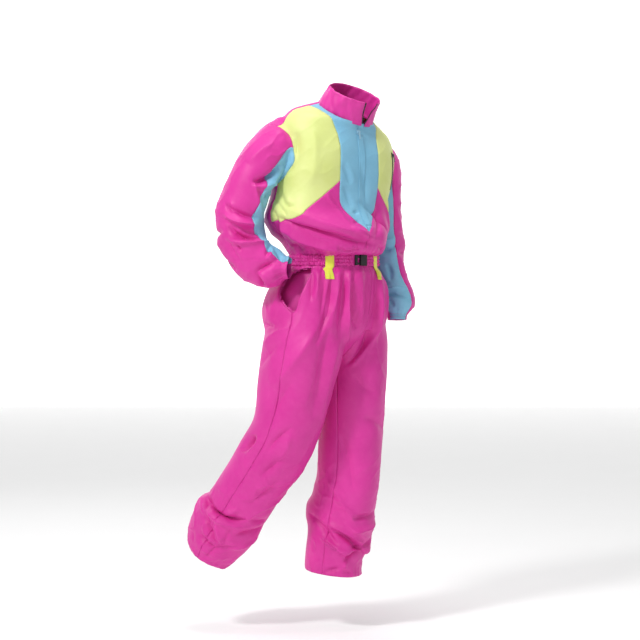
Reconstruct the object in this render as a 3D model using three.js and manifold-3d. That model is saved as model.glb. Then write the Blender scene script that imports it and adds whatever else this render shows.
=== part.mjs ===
import * as THREE from "three";
import { mergeVertices } from "three/addons/utils/BufferGeometryUtils.js";
import Module from "manifold-3d";

const wasm = await Module();
wasm.setup();

// Heights are above the ground the wearer stands on, in mm; the origin is at the wearer's shoulders
const HOLD_HEIGHT = 1530;
const WALL = 2;
const SEAM = 0.3;
const OPEN_END = 25;
const FAR = 700;
const TUBE_SQUARE = 2.1;

// Facets round each tube
const TORSO_SIDES = 20;
const SLEEVE_SIDES = 12;
const LEG_SIDES = 10;
const BELT_SIDES = 40;
const COLLAR_SIDES = 16;
const BAG_SIDES = 12;
const PIN_SIDES = 16;

// Colours of the cloth and the hard pieces
const PINK = { color: 0xe83fa8, roughness: 0.5, metalness: 0.0 };
const BLUE = { color: 0x7fb9d6, roughness: 0.5, metalness: 0.0 };
const YELLOW = { color: 0xe9f08a, roughness: 0.5, metalness: 0.0 };
const BLACK = { color: 0x17161a, roughness: 0.45, metalness: 0.0 };
const SLIDER_BLUE = { color: 0x9fc8de, roughness: 0.4, metalness: 0.0 };

// Bodice: one row for each ring from the waist seam up
// side, front and back are half sizes; dip lowers the front; drop lowers the wearer's left
const BODICE = [
  { height: 1122.2, right: 140, left: 140, front: 112, back: 102, square: 2.1, dip: 0, drop: 0, x: 0, y: 0 },
  { height: 1138, right: 140, left: 140, front: 112, back: 102, square: 2.1, dip: 0, drop: 0, x: 0, y: 0 },
  { height: 1148, right: 146, left: 140, front: 144, back: 117, square: 2.1, dip: 6, drop: 0, x: 0, y: 0 },
  { height: 1172, right: 166, left: 144, front: 163, back: 133, square: 2.1, dip: 8, drop: 0, x: 0, y: 0 },
  { height: 1206, right: 196, left: 148, front: 163, back: 141, square: 2.1, dip: 4, drop: 0, x: 0, y: 0 },
  { height: 1240, right: 210, left: 154, front: 146, back: 140, square: 2.2, dip: 0, drop: 0, x: 0, y: 0 },
  { height: 1280, right: 206, left: 162, front: 132, back: 132, square: 2.3, dip: 0, drop: 0, x: 0, y: 0 },
  { height: 1325, right: 194, left: 175, front: 130, back: 123, square: 2.4, dip: 0, drop: 4, x: 0, y: 0 },
  { height: 1380, right: 190, left: 188, front: 133, back: 118, square: 2.5, dip: 0, drop: 8, x: 0, y: 0 },
  { height: 1435, right: 190, left: 195, front: 129, back: 113, square: 2.5, dip: 0, drop: 12, x: 0, y: -2 },
  { height: 1484, right: 188, left: 192, front: 117, back: 110, square: 2.5, dip: 2, drop: 18, x: 0, y: -6 },
  { height: 1516, right: 178, left: 180, front: 102, back: 104, square: 2.4, dip: 7, drop: 22, x: 0, y: -15 },
  { height: 1538, right: 156, left: 156, front: 93, back: 95, square: 2.3, dip: 19, drop: 24, x: 0, y: -26 },
  { height: 1552, right: 122, left: 122, front: 81, back: 83, square: 2.2, dip: 30, drop: 20, x: 3, y: -41 },
  { height: 1563, right: 84, left: 84, front: 70, back: 72, square: 2, dip: 38, drop: 10, x: 6, y: -55 },
];

// Collar: rings from the neck seam up
const COLLAR = [
  { height: 1563.5, right: 84, left: 84, front: 70, back: 72, square: 2, dip: 38, drop: 10, x: 6, y: -55 },
  { height: 1588, right: 79, left: 79, front: 70, back: 69, square: 2, dip: 36, drop: 7, x: 9, y: -67 },
  { height: 1618, right: 76, left: 76, front: 70, back: 65, square: 2, dip: 36, drop: 3, x: 15, y: -88 },
];
// The collar stands open: half the angle left out at the front, at the neck seam and at the top
const COLLAR_GAP = { centre: 84, low: 5, high: 19 };

// Trousers above the legs: rings from the waist seam down
const HIPS = [
  { height: 1121.8, right: 140, left: 140, front: 112, back: 102, square: 2.1, dip: 0, drop: 0, x: 0, y: 0 },
  { height: 1105, right: 140, left: 140, front: 112, back: 102, square: 2.1, dip: 0, drop: 0, x: 0, y: 0 },
  { height: 1088, right: 160, left: 156, front: 124, back: 118, square: 2.1, dip: 0, drop: 0, x: 0, y: 3 },
  { height: 1056, right: 178, left: 174, front: 136, back: 138, square: 2.1, dip: 0, drop: 0, x: -2, y: 12 },
  { height: 1015, right: 195, left: 190, front: 146, back: 150, square: 2.1, dip: 0, drop: 0, x: -6, y: 23 },
  { height: 960, right: 202, left: 198, front: 149, back: 156, square: 2.1, dip: 0, drop: 0, x: -8, y: 30 },
  { height: 908, right: 184, left: 182, front: 136, back: 148, square: 2.1, dip: 0, drop: 0, x: -8, y: 33 },
  { height: 866, right: 128, left: 128, front: 92, back: 118, square: 2, dip: 0, drop: 0, x: -8, y: 35 },
  { height: 824, right: 36, left: 36, front: 26, back: 52, square: 2, dip: 0, drop: 0, x: -8, y: 34 },
];

// Folds pressed into the rings: degrees from the wearer's left through the front, heights, mm
const BODICE_FOLDS = [
  { from: 190, high: 1264, to: 118, low: 1206, width: 28, rise: 9 },
  { from: 118, high: 1206, to: 70, low: 1198, width: 25, rise: 6 },
  { from: 352, high: 1250, to: 60, low: 1200, width: 25, rise: 6 },
  { from: 205, high: 1250, to: 262, low: 1200, width: 25, rise: 7 },
  { from: 338, high: 1246, to: 282, low: 1200, width: 25, rise: 7 },
  { from: 240, high: 1430, to: 262, low: 1250, width: 28, rise: 5 },
  { from: 302, high: 1430, to: 280, low: 1250, width: 28, rise: 5 },
];
const HIPS_FOLDS = [
  { from: 120, high: 1060, to: 122, low: 960, width: 18, rise: 8 },
  { from: 96, high: 1060, to: 97, low: 940, width: 18, rise: 8 },
  { from: 60, high: 1060, to: 58, low: 960, width: 18, rise: 8 },
  { from: 205, high: 1058, to: 212, low: 990, width: 20, rise: 6 },
  { from: 240, high: 1058, to: 236, low: 980, width: 20, rise: 6 },
  { from: 300, high: 1058, to: 304, low: 980, width: 20, rise: 6 },
  { from: 335, high: 1058, to: 328, low: 990, width: 20, rise: 6 },
];

// Sleeves: centre of each ring, and its half sizes outward, inward, forward and back
const SLEEVE_R = [
  { x: -118, y: 16, height: 1474, out: 46, inn: 50, fore: 60, aft: 62 },
  { x: -170, y: 26, height: 1476, out: 54, inn: 60, fore: 70, aft: 74 },
  { x: -218, y: 36, height: 1434, out: 60, inn: 61, fore: 72, aft: 76 },
  { x: -256, y: 56, height: 1358, out: 66, inn: 56, fore: 70, aft: 73 },
  { x: -275, y: 71, height: 1306, out: 65, inn: 60, fore: 66, aft: 68 },
  { x: -288, y: 83, height: 1256, out: 66, inn: 61, fore: 68, aft: 67 },
  { x: -288, y: 82, height: 1216, out: 63, inn: 66, fore: 64, aft: 70 },
  { x: -280, y: 72, height: 1174, out: 66, inn: 62, fore: 66, aft: 74 },
  { x: -262, y: 46, height: 1136, out: 67, inn: 54, fore: 67, aft: 75 },
  { x: -238, y: 12, height: 1110, out: 60, inn: 40, fore: 62, aft: 72 },
  { x: -216, y: -18, height: 1103, out: 48, inn: 34, fore: 46, aft: 54 },
  { x: -204, y: -36, height: 1102, out: 35, inn: 32, fore: 34, aft: 35 },
  { x: -196, y: -47, height: 1101, out: 37, inn: 33, fore: 36, aft: 37 },
];
const SLEEVE_L = [
  { x: 112, y: 8, height: 1440, out: 46, inn: 50, fore: 60, aft: 60 },
  { x: 160, y: 6, height: 1440, out: 56, inn: 58, fore: 70, aft: 72 },
  { x: 180, y: 8, height: 1420, out: 62, inn: 60, fore: 72, aft: 72 },
  { x: 193, y: 16, height: 1352, out: 61, inn: 52, fore: 69, aft: 70 },
  { x: 203, y: 27, height: 1270, out: 64, inn: 42, fore: 66, aft: 68 },
  { x: 210, y: 30, height: 1215, out: 69, inn: 44, fore: 64, aft: 70 },
  { x: 215, y: 28, height: 1164, out: 72, inn: 46, fore: 66, aft: 68 },
  { x: 219, y: 18, height: 1120, out: 58, inn: 42, fore: 58, aft: 60 },
  { x: 223, y: 0, height: 1068, out: 48, inn: 42, fore: 52, aft: 50 },
  { x: 228, y: -15, height: 1018, out: 58, inn: 46, fore: 56, aft: 54 },
  { x: 230, y: -23, height: 972, out: 44, inn: 38, fore: 40, aft: 40 },
  { x: 230, y: -24, height: 956, out: 37, inn: 35, fore: 36, aft: 36 },
  { x: 230, y: -25, height: 944, out: 41, inn: 38, fore: 39, aft: 39 },
];
// The blue front piece of a sleeve lies between these angles, from outward through forward
const SLEEVE_BLUE = { from: 90, to: 210, seamTurn: 0.15, edges: 4, bodyRings: 5 };
const SLEEVE_CUT = { wide: 1.7, near: 1.2 };

// Legs: stride is measured along the wearer's step, apart from the middle of the body
const STEP_TURN = 25;
const LEG_R = [
  { stride: -20, apart: -78, height: 990, out: 88, inn: 62, fore: 104, aft: 100 },
  { stride: -38, apart: -87, height: 925, out: 108, inn: 78, fore: 116, aft: 120 },
  { stride: -52, apart: -90, height: 860, out: 115, inn: 85, fore: 124, aft: 126 },
  { stride: -74, apart: -91, height: 745, out: 108, inn: 86, fore: 113, aft: 119 },
  { stride: -114, apart: -91, height: 614, out: 102, inn: 85, fore: 106, aft: 101 },
  { stride: -176, apart: -91, height: 514, out: 96, inn: 83, fore: 101, aft: 101 },
  { stride: -228, apart: -91, height: 442, out: 92, inn: 82, fore: 93, aft: 98 },
  { stride: -274, apart: -91, height: 376, out: 90, inn: 80, fore: 92, aft: 96 },
  { stride: -294, apart: -91, height: 346, out: 98, inn: 84, fore: 92, aft: 118 },
  { stride: -314, apart: -91, height: 318, out: 98, inn: 84, fore: 90, aft: 116 },
  { stride: -342, apart: -91, height: 278, out: 88, inn: 79, fore: 82, aft: 94 },
  { stride: -366, apart: -91, height: 242, out: 76, inn: 70, fore: 70, aft: 76 },
  { stride: -375, apart: -91, height: 228, out: 72, inn: 68, fore: 66, aft: 70 },
];
const LEG_L = [
  { stride: 16, apart: 78, height: 990, out: 86, inn: 62, fore: 94, aft: 92 },
  { stride: 14, apart: 87, height: 925, out: 101, inn: 78, fore: 108, aft: 110 },
  { stride: 12, apart: 90, height: 860, out: 107, inn: 85, fore: 115, aft: 114 },
  { stride: 10, apart: 91, height: 740, out: 102, inn: 86, fore: 110, aft: 107 },
  { stride: 11, apart: 91, height: 600, out: 95, inn: 84, fore: 101, aft: 97 },
  { stride: 6, apart: 91, height: 470, out: 91, inn: 82, fore: 96, aft: 96 },
  { stride: -8, apart: 91, height: 396, out: 92, inn: 82, fore: 98, aft: 100 },
  { stride: -15, apart: 91, height: 360, out: 97, inn: 84, fore: 100, aft: 116 },
  { stride: -20, apart: 91, height: 328, out: 97, inn: 84, fore: 100, aft: 114 },
  { stride: -26, apart: 91, height: 296, out: 91, inn: 82, fore: 97, aft: 101 },
  { stride: -32, apart: 91, height: 262, out: 93, inn: 83, fore: 99, aft: 96 },
  { stride: -40, apart: 91, height: 218, out: 85, inn: 79, fore: 88, aft: 93 },
  { stride: -45, apart: 91, height: 176, out: 82, inn: 78, fore: 86, aft: 88 },
];

// Seams in the front view: x is the distance out from the middle of the front
const SIDE_SEAM_R = [
  { x: 236, height: 1640 },
  { x: 226, height: 1545 },
  { x: 202, height: 1520 },
  { x: 187, height: 1484 },
  { x: 182, height: 1420 },
  { x: 181, height: 1370 },
  { x: 203, height: 1326 },
  { x: 219, height: 1280 },
  { x: 224, height: 1236 },
  { x: 211, height: 1192 },
  { x: 154, height: 1144 },
  { x: 150, height: 900 },
];
const SIDE_SEAM_L = [
  { x: 168, height: 1640 },
  { x: 179, height: 1500 },
  { x: 184, height: 1420 },
  { x: 180, height: 1350 },
  { x: 172, height: 1300 },
  { x: 166, height: 1262 },
  { x: 160, height: 1200 },
  { x: 151, height: 900 },
];
const SHOULDER_SEAM = [
  { y: -14, height: 1700 },
  { y: -14, height: 1500 },
  { y: 24, height: 1262 },
  { y: 14, height: 1000 },
];
const BLUE_EDGE = [
  { x: 102, height: 1700 },
  { x: 99, height: 1590 },
  { x: 95, height: 1560 },
  { x: 84, height: 1525 },
  { x: 74, height: 1480 },
  { x: 72, height: 1440 },
  { x: 72, height: 1300 },
];
const BLUE_POINT = 1203;
const CENTRE_LINE = [
  { x: 0, height: 1503 },
  { x: 4, height: 1545 },
  { x: 6, height: 1700 },
];
const PINK_LOW = 1000;
const YELLOW_EDGE_R = [
  { x: 72, height: 1354 },
  { x: 190, height: 1252 },
  { x: 400, height: 1070 },
];
const YELLOW_EDGE_L = [
  { x: 72, height: 1338 },
  { x: 172, height: 1226 },
  { x: 400, height: 1000 },
];
const SLEEVE_REACH = { x: 500, low: 900, high: 1640 };
const LEG_REACH = { fore: 500, aft: -700, apart: 400, low: 100, high: 1200 };

// Belt, its loops and its buckle
const BELT = { low: 1108, high: 1136, clear: 0.6, thick: 2.2, ripple: 0.9 };
const LOOP = { x: 84, width: 22, high: 1137, under: 1106, bend: 1098, fold: 1088, low: 1066 };
const LOOP_TAPE = { thick: 1.4, over: 0.8, clear: 0.6, across: 4 };
const BUCKLE = { x: 3, high: 1138, low: 1106, socket: 25, gap: 10, bar: 8, thick: 7, over: 0.4, across: 4 };
const BUCKLE_BAR = { inset: 1, thin: 2 };
const BUCKLE_RAIL = { tall: 6, inset: 3, thin: 3, lap: 2 };

// Pockets: the mouth is drawn in the side view, y forward negative
const MOUTH_R = [
  { y: -62, height: 1097 },
  { y: -66, height: 1060 },
  { y: -60, height: 1012 },
  { y: -50, height: 969 },
  { y: -24, height: 984 },
  { y: 4, height: 1011 },
  { y: 14, height: 1040 },
  { y: 4, height: 1070 },
  { y: -26, height: 1094 },
];
const MOUTH_L = [
  { y: -60, height: 1096 },
  { y: -62, height: 1060 },
  { y: -50, height: 969 },
  { y: -44, height: 968 },
  { y: -50, height: 1030 },
  { y: -52, height: 1094 },
];
const MOUTH_DEPTH = 80;
const BAG = { fore: -98, aft: 36, high: 1086, low: 916, skin: 1.5, clear: 3, depth: 22, middle: 20 };
const BAG_RINGS = [0, 2, 3, 5, 6, 8];

// Placket, zips and pull tabs
const PLACKET = { left: 20, right: -10, high: 1490, low: 1222, thick: 1.4, over: 0.9, across: 3, tall: 12 };
const FRONT_ZIP = { slider: 1499 };
const OPEN_TAPE = { wide: 4, thick: 1.6, clear: 0.5 };
const CHEST_ZIP = { x: 146, width: 8, high: 1448, low: 1336, slider: 1440 };
const CHEST_TAPE = { thick: 1.4, over: 0.9, across: 1, tall: 16 };
const SLIDER = { wide: 10.6, tall: 13, thick: 2.6, rise: 2.8, pin: 1.1, post: 1.6, inset: 0.3, over: 0.6 };
const PULL = { wide: 6, tongue: 5.4, long: 20, thick: 1.6, barrel: 2.3, clear: 0.1, borePast: 1 };

// Geometry helpers
const radians = (degrees) => (degrees * Math.PI) / 180;
const power = (value, exponent) => Math.sign(value) * Math.abs(value) ** exponent;
const mix = (a, b, t) => a + (b - a) * t;

function foldRise(folds, angle, height, radius) {
  let total = 0;
  for (const fold of folds) {
    const turn = (degrees) => {
      const apart = ((degrees - angle + 540) % 360) - 180;
      return radians(apart) * radius;
    };
    const startX = turn(fold.from);
    const sweep = (((fold.to - fold.from + 540) % 360) - 180) * (Math.PI / 180) * radius;
    const startZ = fold.high - height;
    const fallZ = fold.low - fold.high;
    const along = -(startX * sweep + startZ * fallZ) / (sweep * sweep + fallZ * fallZ);
    const t = Math.min(1, Math.max(0, along));
    const nearX = startX + sweep * t;
    const nearZ = startZ + fallZ * t;
    total += fold.rise * Math.exp(-(nearX * nearX + nearZ * nearZ) / (fold.width * fold.width));
  }
  return total;
}

function levelRing(row, sides, folds) {
  const points = [];
  for (let k = 0; k < sides; k += 1) {
    const angle = (360 * k) / sides;
    const c = power(Math.cos(radians(angle)), 2 / row.square);
    const s = power(Math.sin(radians(angle)), 2 / row.square);
    const rise = foldRise(folds, angle, row.height, (row.right + row.front) / 2);
    const deep = s > 0 ? row.front : row.back;
    const wide = c > 0 ? row.left : row.right;
    const reach = 1 + rise / Math.hypot(wide * c, deep * s);
    const z = row.height - row.dip * s - row.drop * c - HOLD_HEIGHT;
    points.push(new THREE.Vector3(row.x + wide * c * reach, row.y - deep * s * reach, z));
  }
  return points;
}

function pathRings(rows, sides, outward) {
  const centres = rows.map((row) => new THREE.Vector3(row.x, row.y, row.height - HOLD_HEIGHT));
  return rows.map((row, i) => {
    const before = centres[Math.max(0, i - 1)];
    const after = centres[Math.min(rows.length - 1, i + 1)];
    const along = after.clone().sub(before).normalize();
    const out = outward.clone().addScaledVector(along, -outward.dot(along)).normalize();
    const fore = new THREE.Vector3().crossVectors(along, out);
    if (outward.x < 0) {
      fore.negate();
    }
    const points = [];
    for (let k = 0; k < sides; k += 1) {
      const c = power(Math.cos((2 * Math.PI * k) / sides), 2 / TUBE_SQUARE);
      const s = power(Math.sin((2 * Math.PI * k) / sides), 2 / TUBE_SQUARE);
      const point = centres[i].clone();
      point.addScaledVector(out, c > 0 ? c * row.out : c * row.inn);
      point.addScaledVector(fore, s > 0 ? s * row.fore : s * row.aft);
      points.push(point);
    }
    return points;
  });
}

function ringCentre(ring) {
  const centre = new THREE.Vector3();
  for (const point of ring) {
    centre.add(point);
  }
  return centre.divideScalar(ring.length);
}

function movedOut(rings, distance) {
  return rings.map((ring, i) => {
    const centre = ringCentre(ring);
    const sides = ring.length;
    const above = rings[Math.min(rings.length - 1, i + 1)];
    const below = rings[Math.max(0, i - 1)];
    return ring.map((point, k) => {
      const round = ring[(k + 1) % sides].clone().sub(ring[(k + sides - 1) % sides]);
      const up = above[k].clone().sub(below[k]);
      const normal = round.cross(up).normalize();
      if (normal.dot(point.clone().sub(centre)) < 0) {
        normal.negate();
      }
      return point.clone().addScaledVector(normal, distance);
    });
  });
}

function ringAxis(ring, awayFrom) {
  const centre = ringCentre(ring);
  const axis = new THREE.Vector3();
  ring.forEach((point, k) => {
    const next = ring[(k + 1) % ring.length].clone().sub(centre);
    axis.add(point.clone().sub(centre).cross(next));
  });
  axis.normalize();
  return axis.dot(centre.sub(awayFrom)) < 0 ? axis.negate() : axis;
}

function pulledPast(rings, atStart, atEnd) {
  const longer = rings.slice();
  const pull = (ring, next) => {
    const away = ringAxis(ring, ringCentre(next)).multiplyScalar(OPEN_END);
    return ring.map((point) => point.clone().add(away));
  };
  if (atStart) {
    longer.unshift(pull(rings[0], rings[1]));
  }
  if (atEnd) {
    longer.push(pull(rings[rings.length - 1], rings[rings.length - 2]));
  }
  return longer;
}

function solidFrom(vertices, triangles) {
  const flat = new Float32Array(vertices.length * 3);
  vertices.forEach((point, i) => flat.set([point.x, point.y, point.z], i * 3));
  const triVerts = new Uint32Array(triangles.flat());
  return new wasm.Manifold(new wasm.Mesh({ numProp: 3, vertProperties: flat, triVerts }));
}

function signedVolume(vertices, triangles) {
  let volume = 0;
  for (const [a, b, c] of triangles) {
    volume += vertices[a].dot(vertices[b].clone().cross(vertices[c]));
  }
  return volume;
}

function facingOut(vertices, triangles) {
  if (signedVolume(vertices, triangles) < 0) {
    return solidFrom(vertices, triangles.map(([a, b, c]) => [a, c, b]));
  }
  return solidFrom(vertices, triangles);
}

function loft(rings) {
  const sides = rings[0].length;
  const vertices = rings.flat();
  const triangles = [];
  for (let i = 0; i + 1 < rings.length; i += 1) {
    for (let k = 0; k < sides; k += 1) {
      const a = i * sides + k;
      const b = i * sides + ((k + 1) % sides);
      triangles.push([a, b, b + sides], [a, b + sides, a + sides]);
    }
  }
  const first = vertices.length;
  vertices.push(ringCentre(rings[0]), ringCentre(rings[rings.length - 1]));
  const top = (rings.length - 1) * sides;
  for (let k = 0; k < sides; k += 1) {
    triangles.push([first, (k + 1) % sides, k]);
    triangles.push([first + 1, top + k, top + ((k + 1) % sides)]);
  }
  return facingOut(vertices, triangles);
}

function prism(outline, place, near, far) {
  const corners = outline.map(([u, v]) => new THREE.Vector2(u, v));
  const faces = THREE.ShapeUtils.triangulateShape(corners, []);
  const count = corners.length;
  const vertices = [];
  for (const depth of [near, far]) {
    for (const corner of corners) {
      vertices.push(place(corner.x, corner.y, depth));
    }
  }
  const triangles = [];
  for (const [a, b, c] of faces) {
    triangles.push([a, b, c], [a + count, c + count, b + count]);
  }
  for (let k = 0; k < count; k += 1) {
    const next = (k + 1) % count;
    triangles.push([k, k + count, next + count], [k, next + count, next]);
  }
  if (THREE.ShapeUtils.area(corners) < 0) {
    throw new Error("outline drawn the wrong way round");
  }
  return facingOut(vertices, triangles);
}

function drawnAntiClockwise(outline) {
  const corners = outline.map(([u, v]) => new THREE.Vector2(u, v));
  return THREE.ShapeUtils.area(corners) < 0 ? outline.slice().reverse() : outline;
}

function drawnIn(outline, distance) {
  const turned = drawnAntiClockwise(outline);
  const count = turned.length;
  return turned.map(([u, v], k) => {
    const [pu, pv] = turned[(k + count - 1) % count];
    const [nu, nv] = turned[(k + 1) % count];
    const inLength = Math.hypot(u - pu, v - pv);
    const outLength = Math.hypot(nu - u, nv - v);
    const a = [-(v - pv) / inLength, (u - pu) / inLength];
    const b = [-(nv - v) / outLength, (nu - u) / outLength];
    const scale = distance / (1 + a[0] * b[0] + a[1] * b[1]);
    return [u + (a[0] + b[0]) * scale, v + (a[1] + b[1]) * scale];
  });
}

const fromFront = (u, v, depth) => new THREE.Vector3(u, depth, v - HOLD_HEIGHT);
const fromSide = (u, v, depth) => new THREE.Vector3(depth, u, v - HOLD_HEIGHT);
const step = { sin: Math.sin(radians(STEP_TURN)), cos: Math.cos(radians(STEP_TURN)) };
const fromStepSide = (stride, height, apart) => new THREE.Vector3(
  stride * step.sin + apart * step.cos,
  -stride * step.cos + apart * step.sin,
  height - HOLD_HEIGHT,
);
const fromStepFront = (apart, height, stride) => fromStepSide(stride, height, apart);

function frontPiece(outline) {
  return prism(drawnIn(outline, SEAM / 2), fromFront, -FAR, FAR);
}

function sidePiece(outline, near, far) {
  return prism(drawnIn(outline, SEAM / 2), fromSide, near, far);
}

// Solids of the bodice and sleeves, each as outside and inside
const bodiceRings = BODICE.map((row) => levelRing(row, TORSO_SIDES, BODICE_FOLDS));
const sleeveRingsR = pathRings(SLEEVE_R, SLEEVE_SIDES, new THREE.Vector3(-1, 0, 0));
const sleeveRingsL = pathRings(SLEEVE_L, SLEEVE_SIDES, new THREE.Vector3(1, 0, 0));

function outsideOf(rings, distance) {
  return loft(distance === 0 ? rings : movedOut(rings, distance));
}

function insideOf(rings, atStart, atEnd) {
  return loft(pulledPast(movedOut(rings, -WALL), atStart, atEnd));
}

const upperOutside = outsideOf(bodiceRings, 0)
  .add(outsideOf(sleeveRingsR, 0))
  .add(outsideOf(sleeveRingsL, 0));
const upperInside = insideOf(bodiceRings, true, true)
  .add(insideOf(sleeveRingsR, false, true))
  .add(insideOf(sleeveRingsL, false, true));
const upperShell = upperOutside.subtract(upperInside);

// Solids of the trousers
function legRows(rows) {
  return rows.map((row) => {
    const centre = fromStepSide(row.stride, row.height, row.apart);
    return { ...row, x: centre.x, y: centre.y };
  });
}

const hipRings = HIPS.map((row) => levelRing(row, TORSO_SIDES, HIPS_FOLDS));
const outR = new THREE.Vector3(-step.cos, -step.sin, 0);
const outL = new THREE.Vector3(step.cos, step.sin, 0);
const legRingsR = pathRings(legRows(LEG_R), LEG_SIDES, outR);
const legRingsL = pathRings(legRows(LEG_L), LEG_SIDES, outL);
const lowerOutside = outsideOf(hipRings, 0).add(outsideOf(legRingsR, 0)).add(outsideOf(legRingsL, 0));
const lowerInside = insideOf(hipRings, true, false)
  .add(insideOf(legRingsR, false, true))
  .add(insideOf(legRingsL, false, true));
const lowerShell = lowerOutside.subtract(lowerInside);

// Bodice pieces
const pairs = (rows, sign) => rows.map((row) => [row.x * sign, row.height]);
const bodiceOutline = [...pairs(SIDE_SEAM_L, 1), ...pairs(SIDE_SEAM_R, -1).reverse()];
const bodiceShell = upperShell.intersect(frontPiece(bodiceOutline));
const shoulder = SHOULDER_SEAM.map((row) => [row.y, row.height]);
const shoulderEnds = (y) => [[y, shoulder[shoulder.length - 1][1]], [y, shoulder[0][1]]];
const frontSide = [...shoulder, ...shoulderEnds(-FAR)];
const backSide = [...shoulder, ...shoulderEnds(FAR)];
const bodiceFront = bodiceShell.intersect(sidePiece(frontSide, -FAR, FAR));
const bodiceBack = bodiceShell.intersect(sidePiece(backSide, -FAR, FAR));

function blueOutline(sign) {
  return [[0, BLUE_POINT], ...pairs(CENTRE_LINE, sign), ...pairs(BLUE_EDGE, sign)];
}

function yellowOutline(sign, rows) {
  const above = pairs(BLUE_EDGE, sign).filter((corner) => corner[1] > rows[0].height);
  return [...pairs(rows, sign), [sign * rows[rows.length - 1].x, BLUE_EDGE[0].height], ...above];
}

function pinkOutline(sign, rows) {
  const low = pairs(BLUE_EDGE, sign).slice(-1);
  return [[0, PINK_LOW], [0, BLUE_POINT], ...low, ...pairs(rows, sign)];
}

// Collar, an open band
function collarRing(row, t) {
  const half = mix(COLLAR_GAP.low, COLLAR_GAP.high, t);
  const points = [];
  for (let k = 0; k <= COLLAR_SIDES; k += 1) {
    const angle = COLLAR_GAP.centre + half + ((360 - 2 * half) * k) / COLLAR_SIDES;
    const c = Math.cos(radians(angle));
    const s = Math.sin(radians(angle));
    const deep = s > 0 ? row.front : row.back;
    const wide = c > 0 ? row.left : row.right;
    const z = row.height - row.dip * s - row.drop * c - HOLD_HEIGHT;
    points.push(new THREE.Vector3(row.x + wide * c, row.y - deep * s, z));
  }
  return points;
}

// A sheet through rows of points, thickened from under to over along its own normals
function sheet(rows, under, over) {
  const tall = rows.length;
  const wide = rows[0].length;
  const normals = rows.map((row, i) => row.map((point, k) => {
    const along = row[Math.min(wide - 1, k + 1)].clone().sub(row[Math.max(0, k - 1)]);
    const up = rows[Math.min(tall - 1, i + 1)][k].clone().sub(rows[Math.max(0, i - 1)][k]);
    return along.cross(up).normalize();
  }));
  const vertices = [];
  for (const distance of [under, over]) {
    rows.forEach((row, i) => row.forEach((point, k) => {
      vertices.push(point.clone().addScaledVector(normals[i][k], distance));
    }));
  }
  const layer = tall * wide;
  const at = (i, k) => i * wide + k;
  const triangles = [];
  const quad = (a, b, c, d) => triangles.push([a, b, c], [a, c, d]);
  for (let i = 0; i + 1 < tall; i += 1) {
    for (let k = 0; k + 1 < wide; k += 1) {
      quad(at(i, k), at(i, k + 1), at(i + 1, k + 1), at(i + 1, k));
      quad(layer + at(i + 1, k), layer + at(i + 1, k + 1), layer + at(i, k + 1), layer + at(i, k));
    }
  }
  for (let k = 0; k + 1 < wide; k += 1) {
    quad(at(0, k + 1), at(0, k), layer + at(0, k), layer + at(0, k + 1));
    quad(at(tall - 1, k), at(tall - 1, k + 1), layer + at(tall - 1, k + 1), layer + at(tall - 1, k));
  }
  for (let i = 0; i + 1 < tall; i += 1) {
    quad(at(i, 0), at(i + 1, 0), layer + at(i + 1, 0), layer + at(i, 0));
    quad(at(i + 1, wide - 1), at(i, wide - 1), layer + at(i, wide - 1), layer + at(i + 1, wide - 1));
  }
  return facingOut(vertices, triangles);
}

const collarRows = COLLAR.map((row, i) => collarRing(row, i / (COLLAR.length - 1)));

// Points on the faceted outside, seen from the front
function meshOf(solid) {
  const mesh = solid.getMesh();
  const geometry = new THREE.BufferGeometry();
  const count = mesh.vertProperties.length / mesh.numProp;
  const positions = new Float32Array(count * 3);
  for (let i = 0; i < count; i += 1) {
    for (let axis = 0; axis < 3; axis += 1) {
      positions[i * 3 + axis] = mesh.vertProperties[i * mesh.numProp + axis];
    }
  }
  geometry.setAttribute("position", new THREE.BufferAttribute(positions, 3));
  geometry.setIndex(new THREE.BufferAttribute(new Uint32Array(mesh.triVerts), 1));
  return geometry;
}

const caster = new THREE.Raycaster();

function surfaceFinder(solid) {
  const target = new THREE.Mesh(meshOf(solid), new THREE.MeshBasicMaterial({ side: THREE.DoubleSide }));
  return (x, height, fromBack = false) => {
    const start = new THREE.Vector3(x, fromBack ? FAR : -FAR, height - HOLD_HEIGHT);
    caster.set(start, new THREE.Vector3(0, fromBack ? -1 : 1, 0));
    const hits = caster.intersectObject(target);
    return hits[0].point.clone();
  };
}

const onBodice = surfaceFinder(outsideOf(bodiceRings, 0));
const onHips = surfaceFinder(outsideOf(hipRings, 0));

function stations(from, to, count) {
  return Array.from({ length: count + 1 }, (_, k) => mix(from, to, k / count));
}

function laid(find, left, right, low, high, across, tall, under, over) {
  const rows = stations(low, high, tall).map((height) => (
    stations(left, right, across).map((x) => find(x, height))
  ));
  return sheet(rows, under, over);
}

// Belt ring with its ripples
function beltRing(height, distance, ripple) {
  const row = { ...BODICE[0], height };
  const plain = levelRing(row, BELT_SIDES, []);
  const moved = movedOut([plain, plain.map((point) => point.clone().setZ(point.z + 1))], distance)[0];
  return moved.map((point, k) => {
    const flat = new THREE.Vector3(point.x, point.y, 0).normalize();
    return point.clone().addScaledVector(flat, k % 2 === 0 ? ripple : 0);
  });
}

const beltMiddle = (BELT.low + BELT.high) / 2;
const beltOutside = loft([
  beltRing(BELT.low, BELT.clear + BELT.thick, BELT.ripple),
  beltRing(BELT.high, BELT.clear + BELT.thick, BELT.ripple),
]);
const beltHole = loft([
  beltRing(BELT.low - OPEN_END, BELT.clear, 0),
  beltRing(BELT.high + OPEN_END, BELT.clear, 0),
]);
const belt = beltOutside.subtract(beltHole);
const onBelt = surfaceFinder(beltOutside);

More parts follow.
